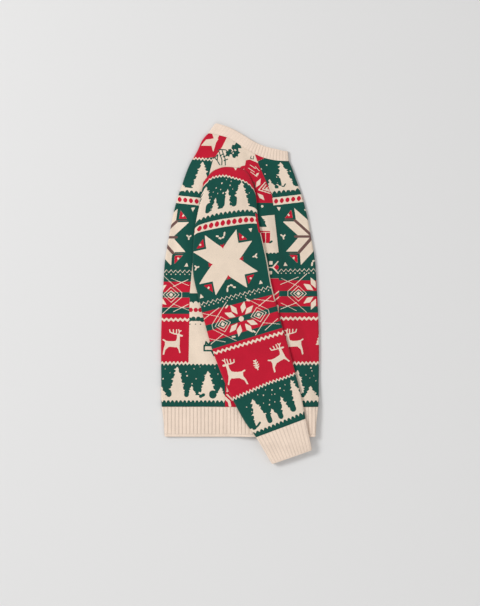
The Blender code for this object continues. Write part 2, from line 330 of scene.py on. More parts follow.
def strokes(lines: Sequence[Points], thick: float) -> Motif:
    """Lines of even thickness through points, with round ends: the distance to them less half of it.

    Args:
        lines: each line's points in order.
        thick: how thick the lines are.

    Returns:
        The motif.
    """

    def distance(x: np.ndarray, y: np.ndarray) -> np.ndarray:
        """Distance to the nearest line, less half of the thickness.

        Args:
            x: the points' x.
            y: the points' y.

        Returns:
            The distance at each point.
        """
        far = np.full(x.shape, FAR)
        for line in lines:
            for start, end in zip(line, line[1:]):
                far = np.minimum(far, apart(x, y, start, end))
        return far - thick / 2

    most = max(abs(c) for line in lines for p in line for c in p)
    return Motif(distance, most * 1.5 + thick + 2)


def spots(places: Points, size: float) -> Motif:
    """Round spots of one size."""
    return strokes([[p, p] for p in places], size)


def turned(points: Points, degrees: float) -> list[tuple[float, float]]:
    """Points turned about their middle, against the clock."""
    c, s = math.cos(math.radians(degrees)), math.sin(math.radians(degrees))
    return [(x * c - y * s, x * s + y * c) for x, y in points]


def star_arm(along: float, aside: float, eighth: int) -> list[tuple[float, float]]:
    """One of a star's eight leaning lozenges, spanned by a long diagonal side and a short upright one.

    Args:
        along: length of the long side.
        aside: length of the short side.
        eighth: which of the eight, from 0 to 7.

    Returns:
        The lozenge's corners.
    """
    diagonal = along * math.sqrt(0.5)
    corners = [(0, 0), (diagonal, diagonal), (diagonal, diagonal + aside), (0, aside)]
    if eighth % 2:
        corners = [(y, x) for x, y in corners]
    return turned(corners, 90 * (eighth // 2))


def full_star(along: float, aside: float) -> Motif:
    """The eight lozenges as one solid star, closed by a spot where their tips meet.

    Args:
        along: length of each lozenge's long side.
        aside: length of its short side.

    Returns:
        The motif.
    """
    star = spots([(0, 0)], 9.0)
    for eighth in range(8):
        star = star | polygon(star_arm(along, aside, eighth))
    return star


def snowflake() -> Motif:
    """Eight slim kites in pairs that leave the level axis free.

    Returns:
        The motif.
    """
    kite = [(5.6, 0), (11.6, 2.8), (18, 0), (11.6, -2.8)]
    leans = [turn for lean in (66, 34) for turn in (lean, 180 - lean, 180 + lean, 360 - lean)]
    flake = polygon(turned(kite, leans[0]))
    for lean in leans[1:]:
        flake = flake | polygon(turned(kite, lean))
    return flake


def fir_tree(tall: float, half: float, seed: float = 0.0) -> Motif:
    """A pointed fir tree whose flanks bear short boughs of uneven length; its foot is at its own middle.

    Args:
        tall: its height.
        half: half its width at the foot.
        seed: a number that varies its boughs.

    Returns:
        The motif.
    """
    tiers = max(4, round(tall / 3.5))
    left, right = [], [(0.0, tall + 0.6)]
    for k in range(1, tiers):
        flank = half * (k / tiers) ** (0.8 if tall > 20 else 1.1)
        for side, points in ((-1, left), (1, right)):
            level = tall * (1 - k / tiers) + 0.8 * math.sin(4.0 * k + seed + 2 * side)
            bough = min(1.0, tall / 20) * (1.4 + 1.1 * math.sin(2.3 * k + seed + 2 * side))
            points += [(side * flank * 0.94, level + 1.2), (side * (flank + bough), level + 0.4)]
            points.append((side * (flank - 0.2), level - 0.9))
    return polygon([*left, (-half, -1.0), (half, -1.0), *right[::-1]])


def reindeer(lean: float = 0.0) -> Motif:
    """A leaping reindeer that looks to the left, about 25 stitches tall, round the middle of its body.

    Args:
        lean: how far its head reaches forward and its hind leg back, in stitches.

    Returns:
        The motif.
    """
    def ahead(points: Points) -> list[tuple[float, float]]:
        """Leans what is above the back."""
        return [(x - lean * max(y - 2, 0) / 8, y) for x, y in points]

    trunk = [(-7.6, 1.5), (-5.6, 3.3), (-1, 2.6), (3, 2.7), (7.0, 3.3), (7.2, -0.5), (6.4, -3.2), (2, -3.0)]
    body = polygon([*trunk, (-3.5, -3.4), (-7.4, -2.8)])
    neck = polygon(ahead([(-7.7, -1.0), (-4.0, 3.2), (-5.0, 5.8), (-4.9, 8.6), (-7.8, 9.6), (-7.8, 4.0)]))
    head = strokes([ahead([(-6.4, 8.9), (-10.0, 8.1)])], 1.9)
    antlers = strokes([ahead(line) for line in (
        [(-6.2, 9.4), (-2.0, 10.2), (1.8, 11.6), (2.4, 14.2)], [(-6.8, 9.4), (-7.4, 12.0), (-6.6, 14.4)],
        [(-4.5, 9.8), (-4.6, 14.2)], [(-1.6, 10.5), (-1.3, 14.2)], [(-7.2, 12.2), (-9.2, 13.2)],
    )], 1.1)
    front_leg = polygon([(-7.5, -2.0), (-4.4, -2.8), (-6.5, -5.6), (-7.3, -9.2), (-8.7, -9.2), (-7.7, -5.0)])
    hind_leg = polygon([
        (3.0, -2.8), (7.2, -1.0), (8.5 + 0.5 * lean, -5.4 + 0.4 * lean), (9.4 + lean, -10.8 + 0.7 * lean),
        (7.9 + lean, -11.0 + 0.7 * lean), (6.8 + 0.5 * lean, -6.2 + 0.4 * lean),
    ])
    tail = strokes([[(6.6, 2.8), (8.8, 4.2)]], 1.4)
    return body | neck | head | antlers | front_leg | hind_leg | tail


def sprig() -> Motif:
    """A little fern frond, upright.

    Returns:
        The motif.
    """
    fronds = [[(0.0, -5.0), (0.0, 5.2)]]
    for k, wide in enumerate((2.0, 2.6, 2.2, 1.4)):
        foot = -3.4 + 2.4 * k
        fronds += [[(0, foot), (side * wide, foot + 1.7)] for side in (-1, 1)]
    return strokes(fronds, 1.1)


class Chart:
    """Colour work in progress: three signed distances per point that say which yarn is on top.

    ground is below 0 where the yarn isn't green, cream where it is cream rather than red, and taupe where it
    is taupe.
    """

    def __init__(self, across: np.ndarray, up: np.ndarray) -> None:
        """Starts a chart in plain green for points given in stitches across and rows up.

        Args:
            across: stitches across at each point.
            up: rows up at each point.
        """
        self.shape = across.shape
        self.x, self.y = across.ravel(), up.ravel()
        self.fields = {key: np.full(self.x.size, UNWORKED) for key in ("ground", "cream", "taupe")}

    def work(self, yarn: Yarn, distance: np.ndarray, where: np.ndarray | slice = slice(None)) -> None:
        """Knits an area in a yarn.

        Args:
            yarn: the yarn.
            distance: signed distance of the area, negative inside.
            where: the points that distance is for.
        """
        for key in LOWERS[yarn]:
            self.fields[key][where] = np.minimum(self.fields[key][where], distance)
        for key in RAISES[yarn]:
            self.fields[key][where] = np.maximum(self.fields[key][where], -distance)

    def draw(self, yarn: Yarn, shape: Motif) -> None:
        """Knits a shape whose points are given in the chart's own stitches and rows."""
        self.work(yarn, shape.distance(self.x, self.y))

    def place(
        self, yarn: Yarn, motif: Motif, x: float, y: float, turn: float = 0.0, size: float = 1.0,
        flip: bool = False,
    ) -> None:
        """Knits a motif at a place, turned by degrees, scaled, or flipped from left to right.

        Args:
            yarn: the motif's colour.
            motif: the shape to knit.
            x: stitches across to the motif's own middle.
            y: rows up to the motif's own middle.
            turn: degrees it is turned by.
            size: how many times its own size it is.
            flip: whether left and right change places.
        """
        reach = motif.reach * size
        where = np.nonzero((np.abs(self.x - x) < reach) & (np.abs(self.y - y) < reach))[0]
        if not where.size:
            return
        c, s = math.cos(math.radians(turn)), math.sin(math.radians(turn))
        dx, dy = (self.x[where] - x) / size, (self.y[where] - y) / size
        lx, ly = dx * c + dy * s, dy * c - dx * s
        self.work(yarn, motif.distance(-lx if flip else lx, ly) * size, where)

    def marks(self, *marks: tuple[Yarn | Motif | float | bool, ...]) -> None:
        """Places motifs one after another, each given as place takes it."""
        for mark in marks:
            self.place(*mark)

    def values(self) -> dict[str, np.ndarray]:
        """The three fields in the grid's own shape."""
        return {key: field.reshape(self.shape) for key, field in self.fields.items()}


def zigzag(x: np.ndarray, pitch: float) -> np.ndarray:
    """A zigzag from 1 to -1 and back over each pitch."""
    return 2 * np.abs((x / pitch) % 1 * 2 - 1) - 1


def humps(x: np.ndarray, pitch: float) -> np.ndarray:
    """Round humps from 0 to 1, one over each pitch."""
    return np.abs(np.sin(np.pi * x / pitch)) ** 0.7


def off_middle(x: np.ndarray, pitch: float) -> np.ndarray:
    """How far x is from the middle of its own pitch."""
    return np.abs((x / pitch) % 1 - 0.5) * pitch


class BandStack:
    """The bands that body and sleeve share, drawn on level lines of a bent row count."""

    def __init__(self, chart: Chart, bent: np.ndarray, inside: np.ndarray | float = -FAR) -> None:
        """Keeps the chart, its bent row count, and the signed distance of the area to keep to."""
        self.chart, self.row, self.inside = chart, bent, inside

    def work(self, yarn: Yarn, distance: np.ndarray) -> None:
        """Knits what lies in the stack's area."""
        self.chart.work(yarn, np.maximum(distance, self.inside))

    def fill(self, yarn: Yarn, low: np.ndarray | float, high: np.ndarray | float) -> None:
        """Knits a band between two row edges."""
        self.work(yarn, np.maximum(low - self.row, self.row - high))

    def wave(self, yarn: Yarn, middle: np.ndarray | float, swing: float, thick: float, pitch: float) -> None:
        """Knits a zigzag line of even thickness."""
        line = middle + swing * zigzag(self.chart.x, pitch)
        self.fill(yarn, line - thick / 2, line + thick / 2)

    def scallops(self, low: float, high: float, pitch: float) -> None:
        """Knits a green strip whose upper edge runs in small humps."""
        self.fill(GREEN, low, high - 2.7 + 3.0 * humps(self.chart.x, pitch))

    def dots(self, low: float, high: float, pitch: float, shift: float, size: float = 2.05) -> None:
        """Knits a cream strip of red lozenges.

        Args:
            low: the strip's lower edge.
            high: the strip's upper edge.
            pitch: stitches from one lozenge to the next.
            shift: stitches added to the count before the lozenges are set.
            size: stitches from a lozenge's middle to its side corner.
        """
        self.fill(CREAM, low, high)
        x = off_middle(self.chart.x + shift, pitch)
        y = np.abs(self.row - (low + high) / 2) * 0.85
        self.work(RED, np.maximum((x + y) * 0.75, np.maximum(x, y)) - size)

    def chain(self, middle: float, pitch: float) -> None:
        """Knits a thin cream zigzag over a row of single stitches.

        Args:
            middle: the zigzag's middle row.
            pitch: stitches from one stitch of the row below to the next.
        """
        self.wave(CREAM, middle, 1.4, 0.95, pitch)
        x = off_middle(self.chart.x + 0.5 * pitch, pitch)
        self.work(CREAM, np.hypot(x, self.row - middle + 2.9) - 0.65)


def star_field(chart: Chart, x: float, y: float, turn: float = 0.0) -> None:
    """The marks round a star: triangles by its notches, three-petal sprigs and small corner flecks.

    Args:
        chart: the chart.
        x: the star's middle, in stitches.
        y: its middle, in rows.
        turn: how far the sprigs at its sides are turned, in degrees.
    """
    triangle = polygon([(17.8, 18.4), (26.0, 18.2), (18.2, 26.8)])
    heart = polygon([(20.4, 21.4), (21.6, 22.9), (22.8, 21.9), (22.4, 20.7), (20.9, 20.2)])
    fleck = polygon([(28.2, 29.4), (32.4, 29.6), (30.6, 25.4)])
    sprout = strokes([[(-0.7, 0.6), (-1.9, 1.6)], [(0.9, 0.4), (1.9, 1.3)], [(0.1, -0.9), (0.3, -2.2)]], 1.5)
    fan = strokes([
        [(-4.4, 1.2), (-3.0, 0.6)], [(-1.9, -1.2), (-0.6, -1.9)], [(3.9, 3.2), (3.4, 0.8)],
        [(1.4, -1.4), (2.4, -1.0)],
    ], 1.7)
    for around, flip in ((0, False), (0, True), (180, False), (180, True)):
        for yarn, mark in ((RED, triangle), (CREAM, heart), (CREAM, fleck)):
            chart.place(yarn, mark, x, y, around, flip=flip)
    for side in (-1, 1):
        chart.place(CREAM, sprout, x + side * 29.8, y, side * turn)
        chart.place(CREAM, fan, x, y + side * 25.6, 90 - 90 * side)


def ringed_lozenge(chart: Chart, x: float, y: float, side: int) -> None:
    """A cream spot in lozenge rings; thin lines meet beside it and cross above and below it.

    Args:
        chart: the chart.
        x: its middle, in stitches.
        y: its middle, in rows.
        side: where the thin lines meet, 1 for the right and -1 for the left.
    """
    lines = strokes([
        [(-9, 20), (10.6, 2.3), (10.6, -2.3), (-8.5, -19)], [(17, 15.2), (2, 8.2)], [(18, 9), (-0.5, 16.6)],
        [(17.6, -9.4), (2, -17.2)], [(18, -15.6), (2, -9.2)],
        [(0, 7.6), (8.0, 0), (0, -7.6), (-8.0, 0), (0, 7.6)],
    ], 0.68)
    chart.place(CREAM, lines, x, y, flip=side < 0)
    for yarn, wide, tall in ((CREAM, 5.5, 4.4), (GREEN, 5.5 * 0.77, 4.4 * 0.76), (CREAM, 2.2, 2.2)):
        chart.place(yarn, polygon([(0, tall), (wide, 0), (0, -tall), (-wide, 0)]), x, y)


def snow(chart: Chart, flakes: Sequence[tuple[float, float, float]]) -> None:
    """Flecks of falling snow: (x, y, size)."""
    for x, y, size in flakes:
        chart.place(CREAM, spots([(0, 0)], 1.0), x, y, 0, size)


def wood(
    chart: Chart, foot: float, trees: Sequence[tuple[float, ...]],
    pools: Sequence[tuple[float, float, float]], tall: float = 5.0,
) -> None:
    """Cream fir trees, and green pools between their feet.

    Args:
        chart: the chart.
        foot: the row that the trees stand on.
        trees: each tree's x, top row and half width, and if need be what makes its boughs differ.
        pools: each pool's x, lowest row and width.
        tall: how much taller than wide a pool is.
    """
    for x, top, half, *seed in trees:
        chart.place(CREAM, fir_tree(top - foot, half, *seed), x, foot)
    for x, low, wide in pools:
        chart.place(GREEN, strokes([[(0, 0), (0, tall)]], wide), x, low + wide / 2)


class BodyChart:
    """The body's colour work: the same bands on front and back, with a patchwork strip under the arm."""

    # edges of the strip under the arm: (row, x)
    FRONT_STRIP = np.array([(74, 39.4), (137, 39.0), (185, 38.6), (232, 33.4), (242, 32.0), (274, 18.0)])
    BACK_STRIP = np.array([
        (74, -51.5), (144, -50.2), (176, -47.2), (212, -43.0), (262, -31.0), (277, -27.0), (290, -18.0),
        (300, -13.0),
    ])
    TREES_TOP = 73.0  # the row where the tree band ends
    TREES_OVER = 2.5  # rows that its upper zigzag may reach past that
    BEND = 0.12  # rows that a band comes down for each stitch outwards, near the shoulder
    BEND_FROM, BEND_OVER = 150, 80  # the row where the bend begins, and how many rows it grows over
    LEVEL_AT = 45  # stitches from the middle where a bent band keeps its row
    BACK_RAISED = 1.2  # rows by which the back's bands lie higher
    LEAN = 0.65  # share of the panel's narrowing that the motifs follow
    LEAN_FROM = 200  # the row where they don't lean
    WOODS = {
        1: (
            [(57.6, 66.5, 7.4, 0.4), (70.8, 50.5, 6.8), (44, 60, 6.0, 1)],
            [(62.8, 39.4, 3.8), (79.2, 39.8, 3.4), (50.5, 40.0, 4.0)],
            [(71, 69, 1.7), (72, 66, 1.2), (76, 56, 1.1), (70, 59, 1.0), (66, 62, 1.1), (74, 61, 1.0)],
        ),
        -1: (
            [(-62.8, 70, 8.0, 0.5), (-48.3, 50.5, 5.0, 1), (-32.2, 65.5, 8.2, 2), (-19.4, 49.4, 5.0, 3),
             (-78.5, 50, 4.8)],
            [(-71.2, 39.8, 5.4), (-53.6, 39.6, 4.8), (-27.2, 38.2, 7.4)],
            [(-77, 58, 1.5), (-53, 61, 1.6), (-48, 53, 1.4), (-57, 51, 1.2), (-54, 65, 1.2), (-44, 58, 1.1),
             (-18, 58, 1.5), (-22, 63, 1.1), (-70, 64, 1.0), (-46, 68, 1.1), (-75, 68, 1.0), (-25, 69, 1.0),
             (-40, 70, 1.0)],
        ),
    }

    def __init__(self, across: np.ndarray, up: np.ndarray, side: int) -> None:
        """Starts the chart of one panel. side is 1 for the front and -1 for the back.

        Args:
            across: stitches across at each point.
            up: rows up at each point.
            side: 1 for the front and -1 for the back.
        """
        self.chart = Chart(across, up)
        self.side = side
        x, y = self.chart.x, self.chart.y
        bend = self.BEND * ease((y - self.BEND_FROM) / self.BEND_OVER)
        self.row = y - bend * (np.abs(x) - self.LEVEL_AT) + (self.BACK_RAISED if side < 0 else 0.0)
        strip = self.FRONT_STRIP if side > 0 else self.BACK_STRIP
        edge = np.interp(y, strip[:, 0], strip[:, 1])
        self.column = (edge - x) if side > 0 else (x - edge)
        bent = np.maximum(y, 150) if side > 0 else np.interp(y, [150, 240, 300], [150, 240, 261])
        narrowing = half_width(self.LEAN_FROM * STITCH) - half_width(bent * STITCH)
        self.lean = self.LEAN * side * narrowing / STITCH

    def knit(self) -> dict[str, np.ndarray]:
        """Knits the whole panel, on a strip that starts in cream.

        Returns:
            The chart's three fields.
        """
        self.chart.work(CREAM, np.full(self.chart.x.shape, -UNWORKED))
        if self.side > 0:
            self.front_patchwork()
        else:
            self.back_patchwork()
        self.column_bands()
        self.tree_band()
        if self.side < 0:
            self.back_shoulder()
        self.holly()
        return self.chart.values()

    def column_bands(self) -> None:
        """The broad column at the centre front or back, from the reindeer band up to the neck."""
        chart = self.chart
        area = np.maximum(self.column, self.TREES_TOP - chart.y)
        chart.work(GREEN, area)
        bands = BandStack(chart, self.row, area)
        bands.fill(RED, self.TREES_TOP, 124.2)
        bands.wave(CREAM, 118.4, 1.0, 2.5, 4.6)
        bands.fill(RED, 130.7, 140.5)
        bands.fill(RED, 146.0, 156.4)
        bands.chain(166.6, 4.6)
        bands.dots(233.0, 240.8, 5.7, 0.9 if self.side > 0 else 0.6)
        bands.fill(CREAM, 240.8, 250.0)
        bands.scallops(240.8, 247.0, 4.6)
        bands.fill(GREEN, 249.6, 277.5 if self.side < 0 else TOP)
        kept = {key: field.copy() for key, field in chart.fields.items()}
        chart.x += self.lean
        self.column_motifs()
        chart.x -= self.lean
        outside = self.column > 0
        for key, field in chart.fields.items():
            field[outside] = kept[key][outside]

    def column_motifs(self) -> None:
        """Star, snowflake, ringed lozenge, reindeer and upper trees of the column."""
        chart, side = self.chart, self.side
        star = (73.0, 200.5) if side > 0 else (-81.0, 199.8)
        for eighth in range(8):
            chart.place(CREAM, polygon(star_arm(21.2, 13.6, eighth)), *star)
        ways = [(a, b) for a in (-1, 1) for b in (-1, 1)]
        chart.marks(
            (TAUPE, strokes([[(0, 0), (15.6 * a, 15.6 * b)] for a, b in ways], 2.9), *star),
            (TAUPE, strokes([[(-17.5, 0), (17.5, 0)]], 2.5), *star),
            (TAUPE, strokes([[(a * 15.6, b * 16.6), (a * 26, b * 16.6)] for a, b in ways], 0.8), *star),
        )
        star_field(chart, *star)
        level = 143.4 if side > 0 else 142.2
        ringed_lozenge(chart, 54.8 if side > 0 else -65.3, level, -side)
        chart.place(CREAM, snowflake(), 74.6 if side > 0 else -84.6, level)
        if side > 0:
            chart.marks((CREAM, reindeer(), 50.4, 93.5), (CREAM, fir_tree(10, 4.6), 76.6, 93.0))
            wood(chart, 248, [(54.6, 274.5, 8.8, 0.6), (39.4, 257.5, 4.4), (72, 258, 5.0)],
                 [(48.6, 251.2, 3.6), (64.6, 251.8, 5.4)])
            chart.place(GREEN, strokes([[(-1.5, -1.5), (0.6, -1.6), (2.6, 0.8)]], 1.2), 51.6, 252.4)
            snow(chart, [(40, 272, 1.4), (33.6, 268, 1.2), (36, 263, 1.3), (47, 260, 1.0), (62, 266, 1.1)])
        else:
            chart.place(CREAM, reindeer(), -64.4, 93.0, flip=True)
            wood(chart, 247, [(-45.6, 275, 9.0, -0.8), (-66, 256, 5.0)], [(-59.6, 250.8, 4.8)])

    def tree_band(self) -> None:
        """The deep tree band above the hem, with its snow and scalloped foot."""
        chart = self.chart
        edge = self.FRONT_STRIP[0, 1] - chart.x if self.side > 0 else np.full(chart.x.shape, -1.0)
        bands = BandStack(chart, chart.y, np.maximum(edge, chart.y - self.TREES_TOP - self.TREES_OVER))
        bands.fill(GREEN, 0.0, self.TREES_TOP)
        bands.fill(CREAM, 30.0, 41.5)
        bands.scallops(30.0, 36.4, 4.1)
        bands.wave(CREAM, 73.7, 1.3, 2.3, 3.9)
        trees, pools, flakes = self.WOODS[self.side]
        wood(chart, 40, trees, pools, 1.0)
        if self.side < 0:
            chart.place(GREEN, strokes([[(1.5, 0.8), (-1.5, -0.8)]], 3.2), -38.0, 41.2)
            chart.place(CREAM, strokes([[(-2.6, 1.4), (-0.4, 0.6)]], 1.5), -38.2, 42.6)
        snow(chart, flakes)

    def front_patchwork(self) -> None:
        """The front's strip under the arm: red, green and cream squares with small holiday motifs."""
        chart = self.chart
        bands = BandStack(chart, self.row)
        bands.fill(RED, 0.0, 158.6)
        twig, gift = (-9.0, 44.0), (25.4, 200.4)
        chart.marks(
            (CREAM, strokes([
                [(-4, 9), (-3.5, 2)], [(-4, 1.5), (-0.4, 3.6)], [(-0.8, -0.2), (0.6, -1.0)],
                [(-4, -1.6), (1.6, -7)],
            ], 1.5), *twig),
            (CREAM, strokes([[(-6.5, -4.5), (-2, -8.6), (-1, -13)]], 2.6), *twig),
            (CREAM, strokes([[(-5, 2.4), (5.5, 11)], [(-3, -1.6), (5.5, 5)]], 1.1), 35.0, 136.0),
        )
        bands.fill(GREEN, 158.6, 183.5 + 1.4 * humps(chart.x, 3.6))
        bands.fill(CREAM, 186.0, 223.0)
        bow = polygon([(-2.2, -2.2), (2.2, -2.2), (2.2, 2.2), (-2.2, 2.2)])
        chart.marks(
            (GREEN, fir_tree(13, 7.0, 1.0), 20.0, 211.0),
            (RED, polygon([(-5.6, -6.4), (4.6, -6.6), (4.8, 5.4), (-5.4, 5.6)]), *gift),
            (CREAM, strokes([[(-5.4, 4.0), (4.6, 4.2)], [(0.2, -6), (0.2, 4)]], 0.7), *gift),
            (GREEN, spots([(0, 0), (1.6, 1.0)], 2.2), 30.0, 194.4),
            (CREAM, bow, 30.8, 174.0, 0, 0.8),
            (CREAM, bow, 30.4, 164.2, 0, 0.75),
            (CREAM, strokes([[(-5, 0), (0, 0), (5.4, 6)], [(0, 0), (6, -6)]], 1.15), 32.6, 169.4),
            (RED, polygon([(-2.6, 0), (0.6, 3.0), (3.4, 0), (0.6, -3.0)]), 36.2, 169.6),
            (CREAM, strokes([[(0, -5), (0, 5)]], 2.4), 37.4, 126.0),
            (GREEN, strokes([[(0, -2), (0, 4)]], 1.0), 35.6, 127.0),
        )
        bands.fill(GREEN, 223.4, 238.0)
        chart.place(CREAM, spots([(0, 0)], 2.6), 22.2, 230.6)
        self.snowflake_patch()

    def snowflake_patch(self) -> None:
        """The red shoulder patch with part of a large snowflake."""
        chart = self.chart
        chart.draw(RED, polygon([
            (-6, 262), (1, 270.5), (5, 271.5), (6, 276.6), (10, 277.4), (18, 274), (33, 242), (33.6, 234),
            (8, 234),
        ]))
        leaf = polygon([(-1.6, -5.6), (2.4, -1.4), (1.8, 5.4), (-1.9, 0.6)])
        chart.marks(
            (CREAM, leaf, 18.2, 254.0, -12, 0.92), (CREAM, leaf, 20.8, 240.2, 62, 0.9),
            (CREAM, leaf, 17.2, 262.6, -30, 0.5),
            (CREAM, strokes([
                [(3.6, 6.0), (1.2, 3.2), (-3.0, -1.6), (8.6, -5.0)], [(4.4, 3.4), (1.0, -0.8), (8.0, -2.8)],
                [(5.8, 1.0), (4.2, -0.4), (7.0, -1.2)],
            ], 1.0), 21.6, 248.6),
            (CREAM, strokes([
                [(4, 4.4), (9.6, 0.6)], [(2.4, 1.2), (8.4, -2.8)], [(4.6, -2.6), (11, -7.4)],
                [(9.4, 2.6), (13.4, -1.6)], [(-5.4, -0.6), (-3.4, -3.8)], [(-2.4, 0.2), (0.2, -4.2)],
                [(0.6, -5.2), (4.4, -8.0)],
            ], 0.62), 6.0, 267.6),
            (GREEN, strokes([[(-2, -2), (-3, 5)]], 0.8), 17.0, 250.0),
        )

    def back_patchwork(self) -> None:
        """The back's strip under the arm: cream, a green bar, a round flower and a gift in outline."""
        BandStack(self.chart, self.chart.y).fill(GREEN, 133.4, 143.7)
        self.chart.marks(
            (CREAM, spots([(-4.6, 0), (0.2, 0.4), (4.8, 0)], 4.4), -44.4, 133.0),
            (RED, spots([(-5.0, 0), (0, 0), (4.6, 0)], 4.3), -44.2, 127.0),
            (GREEN, spots([(-6.6, -0.6), (-2.4, 0), (2.6, 0), (6.6, -0.8)], 4.6), -44.2, 118.0),
            (GREEN, strokes([[(-8, -1.2), (9, -1.4)]], 1.4), -44.2, 118.0),
            (GREEN, spots([(-5.6, 0), (0, 0), (5.0, 0)], 1.3), -44.4, 112.7),
            (GREEN, strokes([
                [(-4.6, -3.6), (12.0, -3.6)], [(-4.6, -3.6), (-4.6, 1.6), (12.0, 1.6)],
                [(-3.4, 1.6), (-2.8, 5.4), (0.2, 2.0)], [(0.2, 2.0), (1.8, 5.8), (2.6, 1.6)],
                [(2.8, -3.8), (5.4, -8.6)],
            ], 1.6), -31.2, 89.8),
        )

    def back_shoulder(self) -> None:
        """The top of the back: red with a ribbon at the neck, over a cream zigzag."""
        chart = self.chart
        x, y = chart.x, chart.y
        chart.work(RED, np.maximum(self.column, 278.6 + 0.10 * (x + 38) - y))
        wave = 278.0 - 0.10 * (x + 38) + 1.1 * zigzag(x, 3.4)
        chart.work(CREAM, np.maximum(np.abs(y - wave) - 0.8, self.column - 0.5))
        chart.draw(CREAM, polygon([
            (-39, 291.6), (-34, 297.6), (-26.5, 298.6), (-25, 301), (-21.6, 298.2), (-24, 294.4),
            (-26.8, 285), (-28.6, 291.4),
        ]))
        chart.draw(CREAM, polygon([(-26.4, 299), (-22, 299.4), (-20, 304), (-28, 304)]))

    def holly(self) -> None:
        """The top of the strip between the columns: cream with holly, and a red corner on the front."""
        chart = self.chart
        leaf = polygon([
            (-4.6, 0), (-3.0, 2.4), (-1.4, 1.5), (0.4, 3.4), (1.8, 1.8), (5.0, 1.6), (3.2, -0.4), (3.4, -2.4),
            (1.0, -1.6), (-0.8, -3.2), (-1.8, -1.6), (-3.6, -2.0),
        ])
        chart.marks(
            (GREEN, leaf, -3.2, 290.6, 16, 1.25), (GREEN, leaf, -11.2, 284.0, 62, 1.0, True),
            (GREEN, leaf, -4.0, 283.2, 50, 1.1),
        )
        chart.draw(GREEN, strokes([
            [(-9.0, 283.0), (-6.0, 286.6)], [(-10.6, 286.6), (-6.4, 281.0)],
            [(-22.4, 286.8), (-19.6, 287.6), (-14.2, 287.2), (-12.6, 285.4)],
            [(-21.0, 285.4), (-18.0, 276.8), (-18.2, 270.5)],
            [(-17.8, 286.4), (-15.0, 278.4), (-14.6, 271.2)],
            [(-25.4, 279.0), (-22.2, 282.4), (-22.8, 276.4), (-25.4, 279.0)],
            [(-17.0, 279.8), (-12.6, 281.6)], [(-16.0, 276.2), (-12.4, 277.6)],
            [(-22.4, 275.6), (-20.0, 271.6)], [(-20, 281), (-17, 283)],
        ], 1.0))
        if self.side > 0:
            chart.draw(RED, polygon([(14.4, 284.6), (24.8, 279.2), (20.6, 277.0), (17.2, 275.8)]))
            hook = [(-1.0, 1.6), (-1.8, -1.0), (1.2, -1.6), (1.4, 1.2)]
            chart.place(GREEN, strokes([hook], 0.7), 12.2, 279.6)


